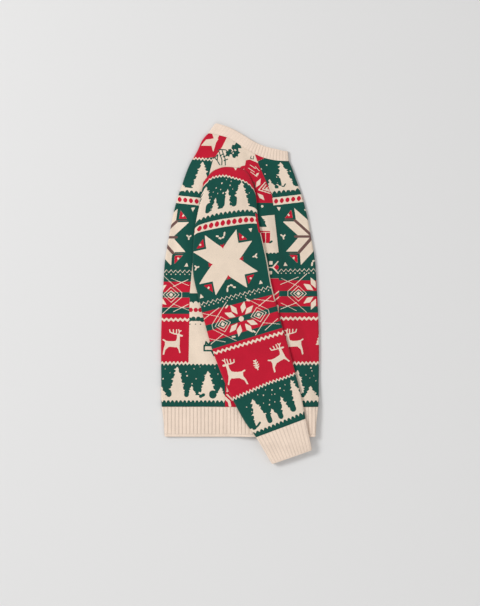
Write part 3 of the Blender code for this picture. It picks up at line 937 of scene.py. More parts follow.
class SleeveChart:
    """A sleeve's colour work, with rows counted up from its cuff seam."""

    LEAN = 3.2  # stitches that the upper motifs are shifted back
    LEAN_FROM, LEAN_OVER = 172, 34  # the row where the shift begins, and how many rows it grows over

    def __init__(self, across: np.ndarray, up: np.ndarray, half: np.ndarray) -> None:
        """Starts the chart. half is the flat sleeve's half width in stitches at each point."""
        self.chart = Chart(across, up)
        self.half = half.ravel()

    def knit(self) -> dict[str, np.ndarray]:
        """Knits the sleeve from cuff to cap.

        Returns:
            The chart's three fields.
        """
        self.bands()
        lean = self.LEAN * ease((self.chart.y - self.LEAN_FROM) / self.LEAN_OVER)
        self.chart.x += lean
        self.upper_motifs()
        self.chart.x -= lean
        self.lower_motifs()
        self.edge_lines()
        return self.chart.values()

    def bands(self) -> None:
        """All the bands, in order from the cuff."""
        chart = self.chart
        share = chart.x / self.half
        bands = BandStack(chart, chart.y)
        bands.fill(CREAM, 0.0, 11.5)
        bands.scallops(0.0, 6.2, 4.2)
        foot = 46.0 - 2.8 * ease(share)
        bands.fill(RED, foot, 95.3)
        bands.wave(CREAM, foot, 1.25, 1.8, 3.6)
        bands.wave(CREAM, 90.8, 1.2, 2.4, 4.5)
        bands.fill(RED, 102.8, 113.2)
        bands.fill(RED, 118.8, 131.4)
        bands.chain(139.8, 4.7)
        bands.dots(209.0, 217.2, 6.05, 1.5, 2.35)
        bands.fill(CREAM, 217.2, 228.0)
        bands.scallops(217.2, 223.8, 4.6)
        crown = 258.8 - 4.2 * share - 2.8 * np.maximum(share + 0.1, 0) + 0.9 * zigzag(chart.x, 3.7)
        bands.fill(CREAM, crown - 0.7, TOP)
        bands.fill(RED, crown + 0.8, TOP)
        chart.place(CREAM, polygon([(-3.4, 3), (3.2, 3), (0.4, -3)]), 6.0, 268.4)

    def upper_motifs(self) -> None:
        """The trees by the cap, and the star below them."""
        chart = self.chart
        wood(
            chart, 226,
            [(-22.2, 258.0, 7.0, 0.4), (-10.8, 240.2, 4.2), (1.6, 246.2, 4.4, 1), (16.2, 253, 9.8, 2)],
            [(-18.0, 226.6, 5.6), (-3.8, 228.4, 6.6), (9.6, 228.2, 5.4), (28.6, 230.0, 4.0)],
        )
        snow(chart, [
            (-5, 253, 1.7), (-11, 250, 1.2), (4, 250, 1.3), (-6, 247, 1.2), (5, 254, 1.1), (-3, 243, 1.7),
            (-9, 244, 1.1), (-14, 247, 1.0), (25, 243, 1.0), (-16, 243, 1.0), (0, 256, 1.0), (7, 246, 1.0),
        ])
        star_x, star_y = -3.4, 174.6
        chart.place(CREAM, full_star(23.0, 14.0), star_x, star_y)
        star_field(chart, star_x, star_y, -90)
        chip = polygon([(-2.2, 2.6), (0, 1.4), (2.2, 2.6), (0, -2.8)])
        for turn in (0, 90, 180, 270):
            (dx, dy), = turned([(0, 15.6)], turn)
            chart.place(RED, chip, star_x + dx, star_y + dy, turn)

    def lower_motifs(self) -> None:
        """Snowflake, reindeer and the trees by the cuff."""
        chart = self.chart
        ringed_lozenge(chart, -19.8, 115.5, -1)
        ringed_lozenge(chart, 17.2, 115.2, 1)
        flake = (-0.6, 115.8)
        ticks = [
            [(-12.0, 14.6), (-10.0, 16.2)], [(10.2, 16.6), (12.2, 15.6)], [(8.4, -15.0), (9.8, -16.6)],
            [(-13.2, -14.6), (-10.8, -15.2)],
        ]
        chart.marks(
            (CREAM, snowflake(), *flake), (CREAM, spots([(0, 0)], 5.2), *flake),
            (CREAM, strokes(ticks, 1.6), *flake),
            (CREAM, reindeer(2.6), -22.4, 65.0, -18), (CREAM, reindeer(1.2), 22.3, 65.8, 14, 1.0, True),
            (CREAM, sprig(), 0.0, 67.0, 0, 0.95),
        )
        wood(
            chart, 9, [(-15.8, 38, 8.6, 0.4), (-1.8, 21, 6.4, 1), (11.3, 28, 5.2, 2), (27.0, 39, 6.4, 3)],
            [(-24.5, 8.6, 4.6), (-7.4, 8.6, 5.2), (4.4, 8.0, 5.2), (18.6, 9.4, 6.0)],
        )
        chart.place(GREEN, strokes([[(-3.4, -1.0), (0, 0), (3.0, 2.2)]], 2.4), -20.6, 11.6)
        snow(chart, [
            (-4, 37, 1.4), (6, 38, 1.5), (14, 36, 1.6), (0, 30, 1.1), (-2, 26, 1.5), (7, 33, 1.1),
            (4, 34, 1.0), (20, 37, 1.1), (-7, 30, 1.0), (17, 32, 1.1), (4, 26, 1.1),
            (-24, 34, 1.1), (-21, 28, 1.0), (-9, 40, 1.0), (0, 41, 1.0),
        ])

    def edge_lines(self) -> None:
        """The yarn that shows at the sleeve's folded edges, where its underarm strip begins."""
        bands = BandStack(self.chart, self.chart.y)
        for yarn, wide, low, high in ((RED, 2.2, 199.0, 222.0), (CREAM, 1.0, 124.0, 199.0)):
            bands.inside = self.half - wide - self.chart.x
            bands.fill(yarn, low, high)


# ---- meshes --------------------------------------------------------------------------------------
class Wall:
    """A thin closed shell of knit: a fine outer grid, a coarser inner one, and rims that join them."""

    SHARP = 50  # degrees between faces past which an edge stays sharp

    def __init__(
        self, node: str, grids: tuple[np.ndarray, np.ndarray], ring: bool, charts: dict[str, np.ndarray],
        places: tuple[np.ndarray, np.ndarray],
    ) -> None:
        """Keeps what the wall is made from.

        Args:
            node: the part's solid that the wall takes the place of.
            grids: the outer and the inner grid of points.
            ring: whether each row closes on itself.
            charts: values of the outer grid's points, by name.
            places: the outer points' places in stitches across and rows up.
        """
        self.node, self.ring = node, ring
        self.outer, self.inner = grids
        across, up = places
        self.charts = charts | {"knit": np.stack([across, up, np.zeros(up.shape)], axis=-1)}

    def build(self, finish: "Finish") -> bpy.types.Object:
        """Makes the mesh object, puts it in its node's place and logs it.

        The outer grid's quads, the inner grid's turned quads, and along each open edge one face per step.

        Args:
            finish: what it is knitted in.

        Returns:
            The object, with its charts as point attributes.
        """
        name = f"{self.node}_knit"
        rows, cols = self.outer.shape[:2]
        in_rows, in_cols = self.inner.shape[:2]
        out = np.arange(rows * cols).reshape(rows, cols)
        ins = rows * cols + np.arange(in_rows * in_cols).reshape(in_rows, in_cols)
        if self.ring:
            out = np.concatenate([out, out[:, :1]], axis=1)
            ins = np.concatenate([ins, ins[:, :1]], axis=1)
        quads = np.stack([out[:-1, :-1], out[:-1, 1:], out[1:, 1:], out[1:, :-1]], axis=-1).reshape(-1, 4)
        backs = np.stack([ins[:-1, 1:], ins[:-1, :-1], ins[1:, :-1], ins[1:, 1:]], axis=-1).reshape(-1, 4)
        rims = [self.rim(out[0], ins[0])[:, ::-1], self.rim(out[-1], ins[-1])]
        if not self.ring:
            rims += [self.rim(out[:, 0], ins[:, 0]), self.rim(out[:, -1], ins[:, -1])[:, ::-1]]
        faces = quads.tolist() + backs.tolist() + [f for rim in rims for f in rim.tolist()]
        points = np.concatenate([self.outer.reshape(-1, 3), self.inner.reshape(-1, 3)])
        corner = points[quads]
        volume = np.einsum("ij,ij->i", corner[:, 0], np.cross(corner[:, 1], corner[:, 2])).sum()
        volume += np.einsum("ij,ij->i", corner[:, 0], np.cross(corner[:, 2], corner[:, 3])).sum()
        if volume < 0:
            faces = [f[::-1] for f in faces]
        mesh = bpy.data.meshes.new(name)
        mesh.from_pydata(points, [], faces)
        mesh.shade_smooth()
        mesh.set_sharp_from_angle(angle=math.radians(self.SHARP))
        for key, values in self.charts.items():
            thinned = values[::INNER_STEP, ::INNER_STEP]
            whole = np.concatenate([values.reshape(rows * cols, -1), thinned.reshape(in_rows * in_cols, -1)])
            kind, slot = ("FLOAT_VECTOR", "vector") if whole.shape[1] == 3 else ("FLOAT", "value")
            mesh.attributes.new(key, kind, "POINT").data.foreach_set(slot, whole.astype(np.float32).ravel())
        mesh.materials.append(finish.material())
        piece = bpy.data.objects.new(name, mesh)
        bpy.context.scene.collection.objects.link(piece)
        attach(piece, "root")
        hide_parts(self.node)
        LOG.info("%s: %d faces, for %s", name, len(faces), self.node)
        return piece

    @staticmethod
    def rim(edge: np.ndarray, inner: np.ndarray) -> np.ndarray:
        """Faces between an outer edge and the inner one: five outer points and two inner points each.

        Args:
            edge: numbers of the outer edge's points.
            inner: numbers of the inner edge's points.

        Returns:
            The faces, seven points each.
        """
        steps = len(inner) - 1
        starts = np.arange(steps)[:, None] * INNER_STEP + np.arange(INNER_STEP + 1)
        return np.concatenate([edge[starts], inner[1:, None], inner[:-1, None]], axis=1)


def in_fours(rows: np.ndarray) -> np.ndarray:
    """Adds points in the widest gaps until the count suits the inner grid's step.

    Args:
        rows: the row numbers, rising.

    Returns:
        The row numbers with the added ones.
    """
    while (len(rows) - 1) % INNER_STEP:
        k = int(np.argmax(np.diff(rows)))
        rows = np.insert(rows, k + 1, (rows[k] + rows[k + 1]) / 2)
    return rows


@dataclass(frozen=True)
class Crease:
    """A soft trough (below 0) or ridge in a layer: a line from one place to another in x and height."""

    x: float
    height: float
    to_x: float
    to_height: float
    wide: float
    deep: float


def creased(x: np.ndarray, height: np.ndarray, creases: Sequence[Crease]) -> np.ndarray:
    """Sum of soft creases: each falls off as a bell across its line and fades towards its ends.

    Args:
        x: the points' x.
        height: the points' height.
        creases: the creases to add up.

    Returns:
        How far each point is lifted.
    """
    total = np.zeros(x.shape)
    for c in creases:
        ex, ey = c.to_x - c.x, c.to_height - c.height
        length = math.hypot(ex, ey)
        t = ((x - c.x) * ex + (height - c.height) * ey) / length**2
        off = ((x - c.x) * -ey + (height - c.height) * ex) / length
        arch = np.sin(np.pi * np.clip(t, 0, 1))
        total += c.deep * arch**0.7 * np.exp(-(((off - 0.018 * length * arch) / c.wide) ** 2))
    return total


# ---- finishes ------------------------------------------------------------------------------------
class Signal:
    """A shader socket that can be used in sums: each operator adds its Math node."""

    def __init__(self, tree: "Nodes", socket: bpy.types.NodeSocket | None) -> None:
        """Wraps an output socket."""
        self.tree = tree
        self.socket = socket

    def math(self, operation: str, *others: "Signal | float") -> "Signal":
        """A Math node on this value and others."""
        return self.tree.add("ShaderNodeMath", {"operation": operation}, dict(enumerate((self, *others))))

    def __add__(self, other: "Signal | float") -> "Signal":
        """Sum."""
        return self.math("ADD", other)

    __radd__ = __add__

    def __mul__(self, other: "Signal | float") -> "Signal":
        """Product."""
        return self.math("MULTIPLY", other)

    __rmul__ = __mul__

    def __sub__(self, other: "Signal | float") -> "Signal":
        """Difference."""
        return self.math("SUBTRACT", other)

    def __rsub__(self, other: float) -> "Signal":
        """A number less this value."""
        return self.tree.add("ShaderNodeMath", {"operation": "SUBTRACT"}, {0: other, 1: self})

    def below(self, limit: float) -> "Signal":
        """1 where the value is under the limit, else 0."""
        return self.math("LESS_THAN", limit)

    def fraction(self) -> "Signal":
        """What is left past the whole number."""
        return self.math("FRACT")

    def absolute(self) -> "Signal":
        """The value without its sign."""
        return self.math("ABSOLUTE")

    def sine(self) -> "Signal":
        """Sine of the value in radians."""
        return self.math("SINE")

    def cosine(self) -> "Signal":
        """Cosine of the value in radians."""
        return self.math("COSINE")


Value = Signal | float | tuple[float, ...]


class Nodes:
    """A material's node tree, with one method that adds any node."""

    def __init__(self, material: bpy.types.Material) -> None:
        """Empties the tree and keeps it."""
        self.tree = material.node_tree
        self.tree.nodes.clear()

    def add(
        self, kind: str, settings: dict[str, object], values: dict[int | str, Value], output: int | str = 0,
    ) -> Signal:
        """Adds a node.

        Args:
            kind: the node's type.
            settings: attributes to set first.
            values: a number, a colour or a link for each input, by index or name.
            output: which output to return.

        Returns:
            That output, wrapped.
        """
        node = self.tree.nodes.new(kind)
        for key, value in settings.items():
            setattr(node, key, value)
        for key, value in values.items():
            if isinstance(value, Signal):
                self.tree.links.new(value.socket, node.inputs[key])
            else:
                node.inputs[key].default_value = value
        return Signal(self, node.outputs[output] if len(node.outputs) else None)

    def mix(self, share: Value, first: Value, second: Value) -> Signal:
        """A colour that goes from first to second as share goes from 0 to 1."""
        return self.add("ShaderNodeMix", {"data_type": "RGBA"}, {0: share, 6: first, 7: second}, 2)

    def dimmed(self, colour: Value, by: Signal) -> Signal:
        """A colour times a grey value.

        Args:
            colour: the colour to dim.
            by: the grey value.

        Returns:
            The dimmed colour.
        """
        grey = self.add("ShaderNodeCombineColor", {}, {0: by, 1: by, 2: by})
        settings = {"data_type": "RGBA", "blend_type": "MULTIPLY"}
        return self.add("ShaderNodeMix", settings, {0: 1.0, 6: colour, 7: grey}, 2)

    def attribute(self, name: str, output: int | str = "Fac") -> Signal:
        """A value kept on the piece's points."""
        return self.add("ShaderNodeAttribute", {"attribute_name": name}, {}, output)

    def stitch_place(self) -> tuple[Signal, Signal]:
        """Stitches across and rows up."""
        split = self.add("ShaderNodeSeparateXYZ", {}, {0: self.attribute("knit", "Vector")})
        return split, Signal(self, split.socket.node.outputs[1])


@dataclass(frozen=True)
class Finish:
    """What all the knits share: matt wool with a soft bloom, stitches in relief, and painted shade between
    the stitches.
    """

    name: str
    bloom: float = 0.13
    stitch_depth: float = 0.0006
    stitch_shade: float = 0.16
    melange: float = 0.24
    grain: float = 520.0
    patches: float = 38.0

    CREAM = (0.81, 0.675, 0.545, 1.0)
    GREEN = (0.005, 0.074, 0.056, 1.0)
    RED = (0.53, 0.008, 0.031, 1.0)
    TAUPE = (0.16, 0.085, 0.075, 1.0)

    def material(self) -> bpy.types.Material:
        """The finish's material, made once.

        Returns:
            The material.
        """
        found = bpy.data.materials.get(self.name)
        if found:
            return found
        made = bpy.data.materials.new(self.name)
        made.use_nodes = True
        nodes = Nodes(made)
        stitch = self.stitches(nodes)
        colour = nodes.dimmed(self.colour(nodes), self.shade(nodes, stitch))
        relief = {"Strength": 0.6, "Distance": self.stitch_depth, "Height": stitch}
        bump = nodes.add("ShaderNodeBump", {}, relief)
        surface = nodes.add("ShaderNodeBsdfPrincipled", {}, {
            "Base Color": colour, "Roughness": 0.93, "Normal": bump, "Specular IOR Level": 0.1,
            "Sheen Weight": self.bloom, "Sheen Roughness": 0.55, "Sheen Tint": (1.0, 0.97, 0.93, 1.0),
        })
        nodes.add("ShaderNodeOutputMaterial", {}, {0: surface})
        return made

    def stitches(self, nodes: Nodes) -> Signal:
        """Height of plain knit: in each stitch two leaning legs, round across and along.

        With u and v in stitches and a = |fract(u) - 0.5|, it is 0.6 sin(pi fract(v - 1.2 a)) plus 0.4 of a
        bell at a = 0.25.

        Args:
            nodes: the material's node tree.

        Returns:
            The height, from 0 to 1.
        """
        u, v = nodes.stitch_place()
        arm = (u.fraction() - 0.5).absolute()
        length = ((v - arm * 1.2).fraction() * math.pi).sine()
        across = 0.5 + ((arm - 0.25) * (4 * math.pi)).cosine() * 0.5
        return length * 0.6 + across * 0.4

    def shade(self, nodes: Nodes, stitch: Signal) -> Signal:
        """Brightness: painted shade between the stitches, and uneven as spun yarn is.

        Args:
            nodes: the material's node tree.
            stitch: height of the stitches.

        Returns:
            The brightness.
        """
        coords = nodes.add("ShaderNodeTexCoord", {}, {}, "Object")
        fine = nodes.add("ShaderNodeTexNoise", {}, {"Vector": coords, "Scale": self.grain, "Detail": 3.0})
        broad = nodes.add("ShaderNodeTexNoise", {}, {"Vector": coords, "Scale": self.patches, "Detail": 2.0})
        yarn = 1.0 + (fine - 0.5) * self.melange + (broad - 0.5) * (self.melange * 0.7)
        return yarn * (1.0 - self.stitch_shade + stitch * self.stitch_shade)

    def colour(self, nodes: Nodes) -> Value:
        """The yarn's colour before shading."""
        return self.CREAM


@dataclass(frozen=True)
class ColourWork(Finish):
    """Jacquard in green, red, cream and taupe, worked from the chart kept on the piece."""

    edge_step: float = 0.35

    def colour(self, nodes: Nodes) -> Value:
        """Picks a yarn by the chart's fields, whose edges step a little from stitch to stitch.

        Args:
            nodes: the material's node tree.

        Returns:
            The yarn's colour.
        """
        v = nodes.stitch_place()[1]
        step = ((v.fraction() - 0.5).absolute() - 0.25) * self.edge_step
        ground, cream, taupe = ((nodes.attribute(k) + step).below(0.0) for k in ("ground", "cream", "taupe"))
        bright = nodes.mix(cream, self.RED, self.CREAM)
        return nodes.mix(taupe, nodes.mix(ground, self.GREEN, bright), self.TAUPE)


@dataclass(frozen=True)
class Ribbing(Finish):
    """Cream ribbing, with painted shade in its furrows."""

    furrow_shade: float = 0.27

    PALE = (0.875, 0.715, 0.592, 1.0)

    def colour(self, nodes: Nodes) -> Value:
        """Pale cream, dimmed by painted shade in the furrows and in the hem's sunk line."""
        furrow = nodes.attribute("furrow")
        return nodes.dimmed(self.PALE, 1.0 - furrow * self.furrow_shade)


PATTERNED = ColourWork("jacquard knit")
RIBBED = Ribbing("cream ribbing")


# ---- the body ------------------------------------------------------------------------------------
@dataclass
class BodySheet:
    """A body piece, seam to fold on top and back again below; side is 1 for the front and -1 for the back."""

    side: int
    upper: int
    lower: int
    around: int = 9
    creases: tuple[Crease, ...] = ()

    CLEAR = 0.004  # how far from the sleeve creases may start
    FADE = 0.012  # over which distance they reach full depth

    def stops(self) -> tuple[np.ndarray, np.ndarray]:
        """Columns of the grid: along the upper layer, round the fold and along the lower layer.

        Returns:
            The share of the way from seam to fold, and the angle round it, for each column.
        """
        extra = (1 - (self.upper + self.around + self.lower)) % INNER_STEP
        up = np.linspace(0, 1, self.upper + extra)
        down = np.linspace(1, 0, self.lower)
        along = np.concatenate([up, np.ones(self.around), down])
        return along, loop_angles(len(up), self.lower, self.around)[: len(along)]

    def grids(
        self, rows: np.ndarray, wall: float, sunk: np.ndarray | float = 0.0,
    ) -> tuple[np.ndarray, np.ndarray]:
        """Points of both faces. sunk says how far the outer one is drawn in."""
        return self.grid(rows, ROUND - sunk, 1), self.grid(rows, ROUND - wall, INNER_STEP)

    def grid(self, rows: np.ndarray, radius: np.ndarray | float, every: int) -> np.ndarray:
        """Points of one face.

        x runs from the seam to the fold's centre, then a half circle turns it under; z is the lift plus that
        circle.

        Args:
            rows: row numbers.
            radius: the face's half thickness, less in a rib's furrow.
            every: 1 to take all rows and columns, or the inner step.

        Returns:
            An array of rows by columns by 3.
        """
        along, angle = (stops[::every] for stops in self.stops())
        flat, height = self.flat(rows[::every], along)
        sine, cosine = np.sin(angle), np.cos(angle)
        x = flat + self.side * radius * cosine
        z = body_lift(flat, height) + ROUND + radius * sine
        top = np.clip(sine, 0, 1)
        clear = ease((beyond_sleeve(flat, height) - self.CLEAR) / self.FADE)
        z = z + top * clear * creased(flat, height, self.creases)
        return np.stack([x, height + HEM_Y, z], axis=-1)

    def flat(self, rows: np.ndarray, along: np.ndarray) -> tuple[np.ndarray, np.ndarray]:
        """x, without the fold, and height above the hem for rows and columns.

        Args:
            rows: the row numbers.
            along: each column's share of the way from seam to fold.

        Returns:
            x and the height above the hem, by row and column.
        """
        back, front = panel_edges(rows)
        start = front + SEAM / 2 if self.side > 0 else back - SEAM / 2
        ends = row_height(rows, np.full(rows.shape, self.side * 1.0))
        fold = self.side * (half_width(ends) - ROUND)
        flat = start[:, None] + along * (fold - start)[:, None]
        return flat, row_height(rows[:, None], flat)

    def stitches(self, rows: np.ndarray) -> tuple[np.ndarray, np.ndarray]:
        """Each point's place in stitches across and rows up, measured on over the fold.

        Args:
            rows: the row numbers.

        Returns:
            Stitches across and rows up at each point.
        """
        along, angle = self.stops()
        flat, height = self.flat(rows, along)
        return (flat + self.side * over_fold(angle)) / STITCH, height / STITCH


@dataclass
class Body:
    """Front and back panels with their hem ribs."""

    row_gap: float = 0.0015
    rib_pitch: float = 0.00814
    rib_depth: float = 0.0011
    line_at: float = 0.0058
    line_wide: float = 0.0009
    line_deep: float = 0.35
    line_shade: float = 0.8

    FRONT_CREASES = (
        Crease(0.004, 0.640, 0.030, 0.588, 0.010, -0.0018),
        Crease(0.052, 0.604, 0.100, 0.560, 0.014, -0.0010),
        Crease(0.060, 0.500, 0.140, 0.470, 0.016, 0.0008),
        Crease(0.078, 0.420, 0.150, 0.330, 0.016, -0.0009),
        Crease(0.100, 0.300, 0.165, 0.255, 0.013, 0.0008),
        Crease(0.118, 0.245, 0.130, 0.140, 0.009, -0.0011),
        Crease(0.140, 0.190, 0.150, 0.080, 0.012, 0.0007),
    )
    BACK_CREASES = (
        Crease(-0.058, 0.650, -0.030, 0.600, 0.012, -0.0010),
        Crease(-0.100, 0.590, -0.094, 0.520, 0.010, -0.0009),
        Crease(-0.140, 0.480, -0.112, 0.400, 0.013, 0.0008),
        Crease(-0.155, 0.360, -0.110, 0.300, 0.015, -0.0008),
        Crease(-0.150, 0.240, -0.085, 0.190, 0.014, 0.0008),
        Crease(-0.150, 0.150, -0.070, 0.110, 0.012, -0.0007),
    )

    def sheets(self) -> dict[str, BodySheet]:
        """The two panels' grids.

        Returns:
            The grids, by the panel's name.
        """
        return {
            "front": BodySheet(1, 138, 70, creases=self.FRONT_CREASES),
            "back": BodySheet(-1, 98, 50, creases=self.BACK_CREASES),
        }

    def rows(self) -> np.ndarray:
        """Row numbers from the hem rib's top to the neck seam, closer together by the cap's top.

        Returns:
            The row numbers, rising.
        """
        level = np.arange(HEM_RIB + SEAM, CHEST, self.row_gap) / CHEST
        share, top = cap_shares()[1:]
        spread = np.linspace(0, 1, 74)
        near = share[top] + np.array([-0.012, -0.006, -0.002, 0.0])
        return in_fours(np.unique(np.concatenate([level, 1 + spread, 1 + near])))

    def build(self) -> None:
        """Builds the four pieces and says what each was cut to."""
        for name, sheet in self.sheets().items():
            self.panel(name, sheet)
            self.hem(name, sheet)

    def panel(self, name: str, sheet: BodySheet) -> None:
        """One panel with its colour work.

        Args:
            name: front or back.
            sheet: the panel's grid.
        """
        rows = self.rows()
        places = sheet.stitches(rows)
        charts = BodyChart(*places, sheet.side).knit()
        piece = Wall(f"{name}_panel", sheet.grids(rows, CLOTH), False, charts, places).build(PATTERNED)

    def hem(self, name: str, sheet: BodySheet) -> None:
        """The ribbed hem under a panel: furrows at an even pitch, and a fine line by the edge, both sunk and
        darkened with painted shade.

        Args:
            name: front or back.
            sheet: the grid of the panel above the hem.
        """
        rows = in_fours(np.concatenate([
            np.linspace(0, 0.0095, 10), np.linspace(0.012, HEM_RIB - 0.002, 12), [HEM_RIB - 0.0004, HEM_RIB],
        ])) / CHEST
        wide = BodySheet(sheet.side, sheet.upper * 2, sheet.lower * 2, 17)
        places = wide.stitches(rows)
        height = rows[:, None] * CHEST
        line = np.exp(-(((height - self.line_at) / self.line_wide) ** 2))
        edge = ease(height / 0.0025) * ease((HEM_RIB - height) / EDGE_ROLL + 0.25)
        furrow = rib_furrow(places[0] * STITCH / self.rib_pitch + 0.5) * ease((height - 0.0035) / 0.003)
        sunk = self.rib_depth * np.maximum(furrow * edge, self.line_deep * line) + EDGE_ROLL * (1 - edge)
        # painted shade for the furrows and the fine line
        charts = {"furrow": np.maximum(furrow, self.line_shade * line)}
        piece = Wall(f"hem_rib_{name}", wide.grids(rows, RIB, sunk), False, charts, places).build(RIBBED)


def rib_furrow(turns: np.ndarray) -> np.ndarray:
    """How deep in a furrow: 1 at each whole number, a narrow bell, and 0 on the rib between."""
    off = np.abs(turns - np.round(turns))
    return np.exp(-((off / 0.12) ** 2))


# ---- the neck ------------------------------------------------------------------------------------
@dataclass
class Neckband:
    """The ribbed neckband: a flattened ring whose rim leans in above the seam."""

    pitch: float = 0.0073
    depth: float = 0.0010
    columns: int = 200
    around: int = 9

    BOWED = 0.0022  # how far the rim's middle stands above its own table

    def build(self) -> None:
        """Builds the ring as rows from seam to rim, each a flat loop round both layers."""
        half = np.linspace(NECK[0, 0] + ROUND, NECK[-1, 0] - ROUND, self.columns)
        x = np.concatenate([half, np.full(self.around, half[-1]), half[::-1], np.full(self.around, half[0])])
        keep = slice(None, len(x) - len(x) % INNER_STEP)
        x, angle = x[keep], loop_angles(self.columns, self.columns, self.around)[keep]
        rise = in_fours(np.concatenate([np.linspace(0, 0.86, 16), np.linspace(0.9, 1.0, 5)]))
        length = np.concatenate([[0], np.cumsum(np.hypot(np.diff(half), np.diff(neck_height(half))))])
        along = np.interp(x, half, length) + over_fold(angle)
        tall = rise[:, None]
        edge = ease((1 - tall) / 0.09)
        # depth and painted shade of the furrows, fainter on the back half of the ring
        furrow = rib_furrow(along / self.pitch) * (0.2 + 0.5 * ease((x - 0.002) / 0.03)) * edge
        sunk = self.depth * furrow * ease(tall / 0.05 + 0.3) + EDGE_ROLL * (1 - edge)
        grids = (
            self.grid(x, angle, rise, ROUND - sunk),
            self.grid(x[::INNER_STEP], angle[::INNER_STEP], rise[::INNER_STEP], ROUND - RIB),
        )
        places = (along / STITCH + 0 * tall, tall * NECK_RIB / STITCH + 0 * x)
        piece = Wall("neck_rib", grids, True, {"furrow": furrow}, places).build(RIBBED)

    @staticmethod
    def grid(x: np.ndarray, angle: np.ndarray, rise: np.ndarray, radius: np.ndarray | float) -> np.ndarray:
        """Points at the seam's x, carried up to the rim, on a half circle at each fold.

        Args:
            x: x of each column at the seam.
            angle: angle of each column on its fold.
            rise: each row's share of the way up to the rim.
            radius: radius of the folds.

        Returns:
            The points, by row and column.
        """
        up = rise[:, None]
        rim_x, rim_height = curve(x, NECK[:, 0], NECK[:, 2]), curve(x, NECK[:, 0], NECK[:, 3])
        seam = neck_height(x) + SEAM
        rim_height = rim_height + Neckband.BOWED * ease((x + 0.035) / 0.03) * ease((0.098 - x) / 0.02)
        at = x + up * (rim_x - x)
        height = seam + up * (rim_height - seam)
        z = ROUND + radius * np.sin(angle) + body_lift(at, height)
        return np.stack([at + radius * np.cos(angle), height + HEM_Y, z + 0 * at], axis=-1)


